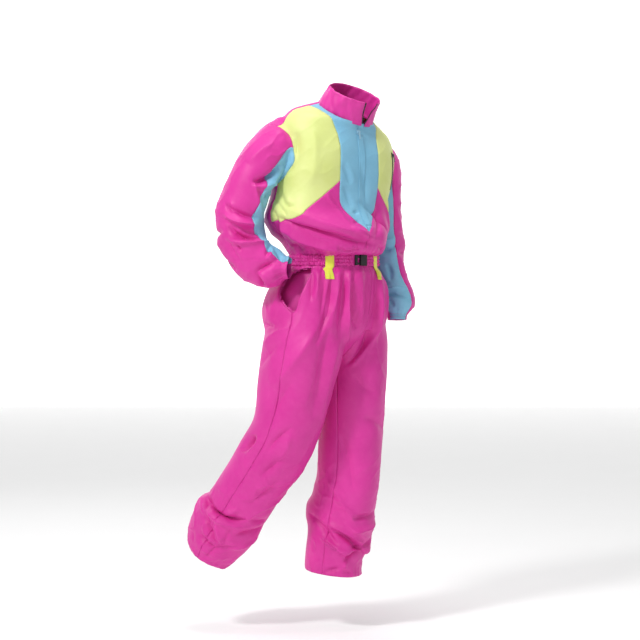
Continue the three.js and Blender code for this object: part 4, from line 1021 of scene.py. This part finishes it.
# Trousers
turn = math.radians(STEP_TURN)
LEGS = {
    "R": (stepped(LEG_R), (-math.cos(turn), -math.sin(turn), 0)),
    "L": (stepped(LEG_L), (math.cos(turn), math.sin(turn), 0)),
}
hip_tube = past_end(level_rings(finer(HIPS), HIPS_FOLDS), True, False)
leg_tubes = [past_end(path_rings(finer(rows), outward), False, True) for rows, outward in LEGS.values()]
lower = Form(*joined_form("lower", [hip_tube, *leg_tubes]))
height = heights(lower.points)
joint_band = eased(height, 780, 860) * (1 - eased(height, 1000, 1050))
lower.relax(5)
lower.relax(60, joint_band)
_, apart = stride_apart(lower.points)
height = heights(lower.points)
lower.fold(np.ones(len(lower.points)), TROUSER_CREASES)
lower.gather(body_angle(lower.points, 0, 8), eased(height, 1040, 1100), count=44, depth=5.0, seed=11)
below_gathers = 1 - eased(height, 1000, 1080)
low_cloth = 1 - eased(height, 380, 620)
lower.lift(1.6 * crumpled(lower.points, stretch=(0.1, 0, 1), length=180, seed=12) * below_gathers)
small = 3.2 * wrinkled(lower.points, stretch=(0.15, 0, 1), length=150, seed=34)
lower.lift(small * (1 - low_cloth) * below_gathers)
lower.lift(4.6 * wrinkled(lower.points, stretch=(1, -0.4, 0.5), length=90, seed=35) * low_cloth)
for side, seed in (("R", 14), ("L", 15)):
    near = (apart < 0) == (side == "R")
    along, angle, _, length = tube_place(lower.points, *LEGS[side])
    hem = np.exp(-(((length - along - 12) / 20) ** 2)) * near
    lower.gather(angle, hem, count=16, depth=2.4, seed=seed)
lower.relax(1)

HEM_SEARCH = 420.0


def past_hem(side):
    def level(points):
        mine = (stride_apart(points)[1] < 0) == (side == "R")
        past = tube_place(points, *LEGS[side])[2]
        return np.where(mine & (heights(points) < HEM_SEARCH), -past, FAR_INSIDE)
    return level


def side_seam(rows):
    order = np.argsort(rows["height"][1:])
    at, stride_at = rows["height"][1:][order], rows["stride"][1:][order]

    def level(points):
        return stride_apart(points)[0] - smooth(heights(points), at, stride_at)
    return level


def mouth_level(mouth, side):
    outline = rounded_outline(mouth["y"], mouth["height"])

    def level(points):
        near = (side * points[:, 0] > 80) & (heights(points) > 900) & (heights(points) < 1120)
        found = np.full(len(points), -FAR_INSIDE)
        found[near] = inside_outline(points[near, 1], heights(points)[near], outline)
        return found
    return level


# Parting the trousers: waist, legs, hems, side seams and pocket mouths
below_waist = lower.part(lambda p: WAIST_CUT["lower"] - heights(p))
left_leg = lower.part(lambda p: stride_apart(p)[1])
on_leg = {"R": ~left_leg, "L": left_leg}
above_hem = {side: lower.part(past_hem(side), on_leg[side]) for side in "RL"}
fore = {side: lower.part(side_seam(rows), on_leg[side]) for side, rows in (("R", LEG_R), ("L", LEG_L))}
mouths = {side: lower.part(mouth_level(*MOUTHS[side]), on_leg[side]) for side in "RL"}
lower.press_seams()
for side in "RL":
    kept = on_leg[side] & above_hem[side] & ~mouths[side] & below_waist
    cloth(f"leg_front_{side}", lower, kept & fore[side], PINK)
    cloth(f"leg_back_{side}", lower, kept & ~fore[side], PINK)


# Small pieces laid on the cloth
def tree_of(form, keep):
    points = [Vector(point) for point in form.points]
    return BVHTree.FromPolygons(points, form.triangles[keep].tolist())


def cast(tree, start, direction):
    place, normal, _, _ = tree.ray_cast(Vector(start), Vector(direction))
    if place is None:
        place, normal, _, _ = tree.find_nearest(Vector(start) + Vector(direction) * 600)
    if normal.dot(Vector(direction)) > 0:
        normal = -normal
    return np.array(place), np.array(normal)


FRONT_VIEW, BACK_VIEW = (0, 1, 0), (0, -1, 0)


def on_front(tree, x, at_height, direction=FRONT_VIEW):
    start = np.array([x, 0, at_height - HOLD_HEIGHT]) - np.array(direction) * 600.0
    return cast(tree, start, direction)


def threads(name, rows, material, slot, stitch=3.2, gap=1.3, radius=0.33):
    """Stitches along rows of places and normals, in one piece."""
    points, faces = [], []
    for places, normals in rows:
        places, normals = np.asarray(places), unit(np.asarray(normals))
        steps = np.linalg.norm(np.diff(places, axis=0), axis=1)
        along = np.concatenate([[0], np.cumsum(steps)])
        for start in np.arange(gap, along[-1] - stitch, stitch + gap):
            ends = np.array([
                [np.interp(at, along, places[:, k]) for k in range(3)] for at in (start, start + stitch)
            ])
            out = unit(np.array([np.interp(start, along, normals[:, k]) for k in range(3)]))
            forward = unit(ends[1] - ends[0])
            side = np.cross(forward, out)
            first = len(points)
            for t, size, sink in ((0, 0.5, -0.2), (0.18, 1, 0.22), (0.82, 1, 0.22), (1, 0.5, -0.2)):
                middle = ends[0] + (ends[1] - ends[0]) * t + out * sink
                points += [middle + side * radius * size, middle + out * radius * size,
                           middle - side * radius * size, middle - out * radius * size]
            for ring in range(3):
                for k in range(4):
                    a, b = first + ring * 4 + k, first + ring * 4 + (k + 1) % 4
                    faces.append((a, b, b + 4, a + 4))
            faces.append((first + 3, first + 2, first + 1, first))
            faces.append((first + 12, first + 13, first + 14, first + 15))
    return finished(new_mesh(name, points, faces), material)


def row_of(tree, places, direction, out):
    found = [cast(tree, np.array(place) - np.array(direction) * 600.0, direction) for place in places]
    return [place + normal * out for place, normal in found], [normal for _, normal in found]


def front_line(tree, corners, out, count):
    """A row on the front along corners given as x and height."""
    places = []
    for (x1, h1), (x2, h2) in zip(corners, corners[1:]):
        for t in np.linspace(0, 1, count):
            places.append((x1 + (x2 - x1) * t, 0, h1 + (h2 - h1) * t - HOLD_HEIGHT))
    return row_of(tree, places, FRONT_VIEW, out)


def laid_strip(name, tree, xs, hs, over, thick, material, node):
    """A strip of cloth or tape lying on the front between two edges."""
    rows = []
    for at_height in hs:
        found = [on_front(tree, x, at_height) for x in xs(at_height)]
        rows.append([place + normal * over for place, normal in found])
    obj = grid(name, rows)
    thickened(obj, thick, 1.0)
    return finished(obj, material, [node])


upper_tree = tree_of(upper, front)
trouser_tree = tree_of(lower, below_waist & ~mouths["R"] & ~mouths["L"])

PLACKET = {"left": 20.0, "right": -4.0, "high": 1490.0, "low": 1224.0, "over": 1.2, "stitched": 1.5}


def placket_edges(at_height):
    """The placket's edges across the front; its free edge wavers a little."""
    waver = 0.9 * math.sin(at_height / 11.0) * math.exp(-(((at_height - 1256) / 26) ** 2))
    return np.linspace(PLACKET["left"], PLACKET["right"] + waver, 8)


placket_heights = np.linspace(PLACKET["low"], PLACKET["high"], 90)
placket = laid_strip("front_placket_cloth", upper_tree, placket_edges, placket_heights, PLACKET["over"], 0.9,
                     BLUE, "front_placket")
placket_edge, placket_foot = PLACKET["left"] - PLACKET["stitched"], PLACKET["low"] + 4
threads("placket_stitching", [
    front_line(upper_tree, [(placket_edge, PLACKET["high"] - 4), (placket_edge, placket_foot)], 2.3, 60),
    front_line(upper_tree, [(placket_edge, placket_foot), (PLACKET["right"] + 3, placket_foot)], 2.3, 12),
], BLUE_THREAD, "blue_cloth")

# Chest zip: tape, coil and the stitching round it
CHEST = {"x": 146.0, "half": 4.0, "high": 1448.0, "low": 1336.0, "over": 0.7}


def chest_edges(at_height):
    half = CHEST["half"] + 0.8 * float(eased(at_height, 1420, 1440))
    return np.linspace(CHEST["x"] + half, CHEST["x"] - half, 5)


chest_heights = np.linspace(CHEST["low"], CHEST["high"], 40)
chest_tape = laid_strip("chest_zip_tape_cloth", upper_tree, chest_edges, chest_heights, CHEST["over"], 1.0,
                        BLACK_TAPE, "chest_zip_tape")


def zip_teeth(name, places, normals, wide, pitch=1.5):
    """Teeth side by side along a line, meeting in the middle by turns."""
    places, normals = np.asarray(places), np.asarray(normals)
    steps = np.linalg.norm(np.diff(places, axis=0), axis=1)
    along = np.concatenate([[0], np.cumsum(steps)])
    points, faces = [], []
    for i, at in enumerate(np.arange(0, along[-1], pitch)):
        middle = np.array([np.interp(at, along, places[:, k]) for k in range(3)])
        out = unit(np.array([np.interp(at, along, normals[:, k]) for k in range(3)]))
        ahead = unit(places[-1] - places[0])
        side = unit(np.cross(out, ahead))
        middle = middle + side * (0.4 if i % 2 else -0.4)
        first = len(points)
        for half_u, half_v, w in ((1, 1, 0), (0.8, 0.7, 1)):
            for u, v in ((-half_u, -half_v), (half_u, -half_v), (half_u, half_v), (-half_u, half_v)):
                points.append(middle + side * u * wide / 2 + ahead * v * pitch * 0.32 + out * w * 0.7)
        faces += [tuple(first + k for k in face) for face in (
            (3, 2, 1, 0), (4, 5, 6, 7), (0, 1, 5, 4), (1, 2, 6, 5), (2, 3, 7, 6), (3, 0, 4, 7))]
    return finished(new_mesh(name, points, faces), BLACK_PLASTIC, smooth_shaded=False)


chest_ends = [(CHEST["x"], CHEST["low"] + 2), (CHEST["x"], CHEST["high"] - 14)]
chest_line = front_line(upper_tree, chest_ends, 1.7, 40)
zip_teeth("chest_zip_teeth", *chest_line, wide=2.6)
left, right, low, high = CHEST["x"] + 6, CHEST["x"] - 6, CHEST["low"] - 3, CHEST["high"] + 3
threads("chest_zip_stitching", [
    front_line(upper_tree, [(right, low), (right, high), (left, high), (left, low), (right, low)], 0.3, 30),
], YELLOW_THREAD, "yellow_cloth")

# Collar
COLLAR_ROWS, COLLAR_COLUMNS = 14, 110
COLLAR_TUCK = {"share": 0.13, "down": 55.0, "inward": 14.0}
# Where each crease stands round the collar, its tilt, width and rise
COLLAR_CREASES = (
    (0.10, 0.05, 0.012, -1.8), (0.16, -0.06, 0.02, 1.6), (0.22, 0.10, 0.014, -2.0), (0.31, 0.08, 0.02, 1.4),
    (0.44, -0.05, 0.02, -1.6), (0.58, 0.06, 0.02, 1.5), (0.69, -0.08, 0.016, -1.8), (0.80, 0.06, 0.02, 1.5),
    (0.90, -0.05, 0.014, -1.6),
)


def collar_point(t, u, out=0.0):
    """A point from the collar's seam (t 0) to its edge, round from one front edge (u 0) to the other.

    Below the seam the cloth is tucked into the neck.
    """
    tuck, t = min(t, 0.0), max(t, 0.0)
    level = COLLAR["height"][0] + (COLLAR["height"][-1] - COLLAR["height"][0]) * t
    row = level_row(COLLAR, 1, level)
    half = COLLAR_GAP["low"] + (COLLAR_GAP["high"] - COLLAR_GAP["low"]) * t
    angle = math.radians(COLLAR_GAP["centre"] + half + (360 - 2 * half) * u)
    c, s = math.cos(angle), math.sin(angle)
    wide = row["left"] if c > 0 else row["right"]
    deep = row["front"] if s > 0 else row["back"]
    soft = 1.1 * math.sin(9 * angle + 5 * t) * t + 0.8 * math.sin(17 * angle - 7 * t)
    for place, tilt, width, rise in COLLAR_CREASES:
        soft += rise * math.exp(-(((u - place - tilt * (t - 0.5)) / width) ** 2))
    soft += 1.2 * math.sin(math.pi * t) + COLLAR_TUCK["inward"] * tuck
    reach = 1 + (out + soft) / math.hypot(wide, deep) * 1.4
    z = row["height"] - row["dip"] * s - row["drop"] * c - HOLD_HEIGHT + COLLAR_TUCK["down"] * tuck
    return np.array([row["x"] + wide * c * reach, row["y"] - deep * s * reach, z])


collar_ts = np.linspace(0, 1, COLLAR_ROWS)
collar_us = np.linspace(0, 1, COLLAR_COLUMNS)
tucked_ts = [-COLLAR_TUCK["share"], *collar_ts]
collar = grid("collar_cloth", [[collar_point(t, u, 1.0) for u in collar_us] for t in tucked_ts])
thickened(collar, 2.0, 0.0)
finished(collar, PINK, ["collar"])


def collar_row(t, out):
    places = [collar_point(t, u, out) for u in np.linspace(0.01, 0.99, 140)]
    middle = np.mean(places, axis=0)
    return places, [unit((place - middle) * (1, 1, 0.1)) for place in places]


threads("collar_stitching", [collar_row(0.9, 2.1), collar_row(0.08, 2.1)], PINK_THREAD, "pink_cloth")

# Open zip along the collar's front edges
for side, u, inner in (("R", 0.0, 0.02), ("L", 1.0, 0.98)):
    edge = np.array([collar_point(t, u, 1.0) for t in collar_ts])
    away = unit(edge - np.array([collar_point(t, inner, 1.0) for t in collar_ts]))
    across = [[e + a * s for s in (-3.0, 0.5, 2.2, 4.2)] for e, a in zip(edge, away)]
    tape = grid(f"zip_tape_{side}_cloth", across)
    thickened(tape, 1.0, 0.0)
    finished(tape, BLACK_TAPE, [f"zip_tape_{side}"])
    outward = [unit(np.cross(a, edge[-1] - edge[0])) for a in away]
    zip_teeth(f"zip_teeth_{side}", edge + away * 4.0, outward, wide=2.0)

# Belt: a ruched band in three puffed channels with two rows of elastic stitching
BELT = {"low": 1106.5, "high": 1137.0, "base": 0.7, "skin": 1.3, "puff": 3.3}
belt_rng = np.random.default_rng(21)
BELT_WAVES = [(times, belt_rng.uniform(0, 6.28)) for times in (71, 97, 118, 53)]


def belt_point(turn, at_height, out=0.0, flat=False):
    c, s = math.cos(turn), math.sin(turn)
    square = 2 / BODICE["square"][0]
    wide = (BODICE["left"] if c > 0 else BODICE["right"])[0]
    deep = (BODICE["front"] if s > 0 else BODICE["back"])[0]
    x, y = wide * float(power(c, square)), -deep * float(power(s, square))
    t = (at_height - BELT["low"]) / (BELT["high"] - BELT["low"])
    wave = sum(
        math.sin(times * turn + phase + 1.4 * math.sin(2 * math.pi * t + phase))
        for times, phase in BELT_WAVES
    )
    held_at = (3, -84, 84) if y < 0 else (0,)
    near_buckle = max(math.exp(-(((x - at) / (26 if at == 3 else 15)) ** 4)) for at in held_at)
    channels = abs(math.sin(3 * math.pi * t)) ** 0.7
    puff = BELT["puff"] * channels * (0.7 + 0.42 * wave) * (1 - 0.9 * near_buckle)
    edge = 0.7 * math.sin(61 * turn + 1.0) + 0.5 * math.sin(43 * turn)
    reach = BELT["base"] + BELT["skin"] + (0 if flat else puff) + out
    normal = unit(np.array([x / wide**2, y / deep**2, 0.0]))
    return np.array([x, y, at_height - HOLD_HEIGHT + edge * (2 * t - 1)]) + normal * reach, normal


belt_turns = np.linspace(0, 2 * math.pi, 640, endpoint=False)
belt = grid("belt_cloth", [[belt_point(turn, h)[0] for turn in belt_turns]
                           for h in np.linspace(BELT["low"], BELT["high"], 19)], closed=True)
thickened(belt, 1.2, -1.0)
finished(belt, PINK, ["belt"])
belt_rows = []
for share in (1 / 3, 2 / 3):
    at_height = BELT["low"] + share * (BELT["high"] - BELT["low"])
    row = [belt_point(turn, at_height, 0.35, True) for turn in belt_turns[::2]]
    belt_rows.append(([place for place, _ in row], [normal for _, normal in row]))
threads("belt_stitching", belt_rows, PINK_THREAD, "pink_cloth")

# Belt loops
LOOP = {"half": 11.0, "high": 1138.0, "low": 1066.0, "clear": 2.2, "slack": 3.0, "lean": 8.0}


def belt_at(x, at_height, clear, at_front):
    """A place just off the belt's skin and its normal, at a distance across the front or back."""
    wide = (BODICE["left"] if x > 0 else BODICE["right"])[0]
    turn = math.acos(math.copysign((abs(x) / wide) ** (BODICE["square"][0] / 2), x))
    return belt_point(turn if at_front else -turn, at_height, clear, True)


def belt_loop(node, x, direction):
    """A folded tape that runs over the belt and is sewn to the trousers below it."""
    at_front = direction[1] > 0
    places, normals = [], []
    hs = np.linspace(LOOP["low"], LOOP["high"], 34)
    for h in hs:
        over_belt = float(eased(h, 1094, 1108))
        slack = LOOP["slack"] * math.sin(math.pi * min(1.0, (h - LOOP["low"]) / 46)) ** 2
        row, row_normals = [], []
        for across in np.linspace(-LOOP["half"], LOOP["half"], 7):
            over, normal = belt_at(x + across, max(h, BELT["low"]), LOOP["clear"], at_front)
            lean = LOOP["lean"] * math.copysign(1 - over_belt, x) * at_front
            under, under_normal = on_front(trouser_tree, x + across + lean, min(h, 1102), direction)
            over[2] = h - HOLD_HEIGHT
            place = (under + under_normal * 1.0) * (1 - over_belt) + over * over_belt + normal * slack
            place[2] = h - HOLD_HEIGHT
            row.append(place)
            row_normals.append(normal)
        places.append(row)
        normals.append(row_normals)
    obj = grid(f"{node}_cloth", places)
    thickened(obj, 1.2, 0.0)
    finished(obj, YELLOW_TAPE, [node])
    rows = []
    for h in (LOOP["low"] + 3, LOOP["low"] + 8, LOOP["high"] - 7, LOOP["high"] - 3):
        i = int(np.abs(hs - h).argmin())
        rows.append(([p + n * 0.8 for p, n in zip(places[i], normals[i])], normals[i]))
    threads(f"{node}_stitching", rows, YELLOW_THREAD, "yellow_cloth", stitch=2.2, gap=0.8)


for place, x, direction in (("R", -84.0, FRONT_VIEW), ("L", 84.0, FRONT_VIEW), ("back", 0.0, BACK_VIEW)):
    belt_loop(f"belt_loop_{place}", x, direction)

# Pocket bags behind the mouths
BAG = {"fore": -98.0, "aft": 36.0, "high": 1099.0, "low": 916.0, "outer": 6.0, "inner": 30.0}
BAG_ROWS, BAG_COLUMNS = 36, 30


def hip_point(side, y, at_height, inward):
    """A point inside the hip at a given depth y and height, moved in from the cloth."""
    row = level_row(HIPS, -1, at_height)
    deep = (row["front"] if y < row["y"] else row["back"]) - inward
    s = min(0.98, abs(y - row["y"]) / deep)
    wide = (row["left"] if side > 0 else row["right"]) - inward
    x = row["x"] + side * wide * (1 - s ** row["square"]) ** (1 / row["square"])
    return (x, y, at_height - HOLD_HEIGHT)


for name, (mouth, side) in MOUTHS.items():
    ys = np.linspace(BAG["fore"], BAG["aft"], BAG_COLUMNS)
    rings = []
    for h in np.linspace(BAG["low"], BAG["high"], BAG_ROWS):
        drawn = [hip_point(side, y, h, BAG["outer"]) for y in ys]
        drawn += [hip_point(side, y, h, BAG["inner"]) for y in ys[::-1]]
        rings.append(drawn)
    bag_points, bag_faces = closed_tube(np.array(rings))
    bag_outer = np.zeros(len(bag_points), bool)
    bag_outer[:BAG_ROWS * 2 * BAG_COLUMNS] = np.tile(np.arange(2 * BAG_COLUMNS) < BAG_COLUMNS, BAG_ROWS)
    outline = rounded_outline(mouth["y"], mouth["height"])
    inside = bag_outer & (inside_outline(bag_points[:, 1], heights(bag_points), outline) > 0)
    kept_faces = [face for face in bag_faces if not all(inside[i] for i in face)]
    bag = new_mesh(f"pocket_bag_{name}_cloth", bag_points, kept_faces)
    thickened(bag, 0.8, 0.0)
    finished(bag, PINK, [f"pocket_bag_{name}"])
    edge = outline[outline[:, 0] < -30] if side < 0 else outline
    edge = edge[(edge[:, 1] < 1092) & (edge[:, 1] > 972)]
    offset = [(side * 600, y - 5.0, h - HOLD_HEIGHT) for y, h in edge[np.argsort(edge[:, 1])]]
    places = [cast(trouser_tree, start, (-side, 0, 0)) for start in offset]
    rows = [([place for place, _ in places], [normal for _, normal in places])]
    threads(f"pocket_stitching_{name}", rows, PINK_THREAD, "pink_cloth")

# Stitching on the trousers and at the sleeve and leg ends
FLY = [(-28, 1100), (-24, 1080), (-15, 1052), (-6, 1030), (0, 1018), (2, 1024)]
threads("fly_stitching", [
    front_line(trouser_tree, FLY, 0.1, 8),
    front_line(trouser_tree, [(2.5, 1098), (2.5, 900)], 0.1, 60),
], PINK_THREAD, "pink_cloth")


def round_tube(tree, rows, outward, from_end, count=90):
    """A row of places round a tube, a distance before its open end."""
    fine = finer(rows, 3.0)
    centre, along, out, fore = path_frames(fine, outward)
    length = np.concatenate([[0], np.cumsum(np.linalg.norm(np.diff(centre, axis=0), axis=1))])
    i = int(np.abs(length - (length[-1] - from_end)).argmin())
    places, normals = [], []
    for turn in np.linspace(0, 2 * math.pi, count):
        direction = out[i] * math.cos(turn) + fore[i] * math.sin(turn)
        place, normal, _, _ = tree.ray_cast(Vector(centre[i]), Vector(direction))
        if place is not None:
            places.append(np.array(place))
            normals.append(direction)
    return places, normals


sleeve_tree = {side: tree_of(upper, sleeve[side] & before_end[side]) for side in "RL"}
leg_tree = {side: tree_of(lower, on_leg[side] & above_hem[side]) for side in "RL"}
threads("cuff_stitching", [
    round_tube(sleeve_tree[side], *SLEEVES[side], from_end) for from_end in (8, 18) for side in "RL"
], PINK_THREAD, "pink_cloth")
threads("hem_stitching", [
    round_tube(leg_tree[side], *LEGS[side], from_end=12, count=160) for side in "RL"
], PINK_THREAD, "pink_cloth")

# Hard pieces that keep their CAD shape
for node, material in (
    ("buckle_socket", BLACK_PLASTIC), ("buckle_plug", BLACK_PLASTIC),
    ("front_zip_slider", SLIDER_PAINT), ("front_zip_pull", SLIDER_PAINT),
    ("chest_zip_slider", BLACK_PLASTIC), ("chest_zip_pull", BLACK_PLASTIC),
):
    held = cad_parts[node]
    held.data.materials.clear()
    held.data.materials.append(material)


# Floor, light and camera
TARGET = (0, 0, -0.45)


def area_light(name, place, size, power_watts):
    light = bpy.data.lights.new(name, "AREA")
    light.shape = "DISK"
    light.size = size
    light.energy = power_watts
    obj = bpy.data.objects.new(name, light)
    bpy.context.scene.collection.objects.link(obj)
    obj.location = place
    obj.rotation_euler = (Vector(TARGET) - Vector(place)).to_track_quat("-Z", "Y").to_euler()


scene = bpy.context.scene
scene.view_settings.view_transform = "Standard"
scene.view_settings.look = "None"
FLOOR_HALF = 30.0
floor_corners = [(FLOOR_HALF * x, FLOOR_HALF * y) for x, y in ((-1, -1), (1, -1), (1, 1), (-1, 1))]
floor = new_mesh("floor", [(x / MM, y / MM, -HOLD_HEIGHT) for x, y in floor_corners], [(0, 1, 2, 3)])
pale, pale_tree, pale_shader, pale_place = shaded("pale_floor", 0.8)
mottle = add(pale_tree, "ShaderNodeTexNoise", Vector=pale_place, Scale=3.0, Detail=2.0).outputs[0]
floor_colour = mixed(pale_tree, mottle, srgb("FDFDFD"), srgb("FBFBFB"))
pale_tree.links.new(floor_colour, pale_shader.inputs["Base Color"])
floor.data.materials.append(pale)
BACKDROP = {"away": 12.0, "half": 16.0, "low": -1.531, "high": 14.0, "glow": 0.86}

world = bpy.data.worlds.new("studio")
world.use_nodes = True
world.node_tree.nodes["Background"].inputs["Color"].default_value = (1, 1, 1, 1)
world.node_tree.nodes["Background"].inputs["Strength"].default_value = 0.5
scene.world = world

CAMERA_TURN = math.radians(FRONT)
CAMERA_BACK = Vector((math.sin(CAMERA_TURN), -math.cos(CAMERA_TURN), 0))
CAMERA_SIDE = Vector((math.cos(CAMERA_TURN), math.sin(CAMERA_TURN), 0))
backdrop_back = -CAMERA_BACK * BACKDROP["away"]
corners = [(-BACKDROP["half"], BACKDROP["low"]), (BACKDROP["half"], BACKDROP["low"]),
           (BACKDROP["half"], BACKDROP["high"]), (-BACKDROP["half"], BACKDROP["high"])]
standing = [tuple((backdrop_back + CAMERA_SIDE * x + Vector((0, 0, z))) / MM) for x, z in corners]
backdrop = new_mesh("backdrop", standing, [(0, 1, 2, 3)])
screen, _, screen_shader, _ = shaded("pale_screen", 0.9, Emission_Strength=BACKDROP["glow"])
screen_shader.inputs["Emission Color"].default_value = (1, 1, 1, 1)
backdrop.data.materials.append(screen)
area_light("key", CAMERA_BACK * 2.9 - CAMERA_SIDE * 2.2 + Vector((0, 0, 2.3)), size=0.7, power_watts=112)
area_light("fill", CAMERA_BACK * 3.2 + CAMERA_SIDE * 2.8 + Vector((0, 0, 0.6)), size=2.4, power_watts=8)
area_light("top", CAMERA_BACK * 0.6 + Vector((0, 0, 2.6)), size=1.2, power_watts=34)
area_light("back", -CAMERA_BACK * 3.0 - CAMERA_SIDE * 1.6 + Vector((0, 0, 1.4)), size=1.6, power_watts=15)

SENSOR_WIDTH = 36.0
SEEN_WIDTH = 1920.0
PICTURE_PIXELS = 640.0
AXIS_PIXEL = 333.0
camera_data = bpy.data.cameras.new("camera")
camera_data.sensor_width = SENSOR_WIDTH
camera_data.lens = SENSOR_WIDTH * VIEW_DISTANCE / SEEN_WIDTH
camera_data.shift_x = (PICTURE_PIXELS / 2 - AXIS_PIXEL) / PICTURE_PIXELS
camera_data.shift_y = (AXIS_HEIGHT - VIEW_HEIGHT) / SEEN_WIDTH
camera = bpy.data.objects.new("camera", camera_data)
scene.collection.objects.link(camera)
camera.location = CAMERA_BACK * VIEW_DISTANCE * MM + Vector((0, 0, (VIEW_HEIGHT - HOLD_HEIGHT) * MM))
camera.rotation_euler = (-CAMERA_BACK).to_track_quat("-Z", "Y").to_euler()
scene.camera = camera

bpy.context.view_layer.update()
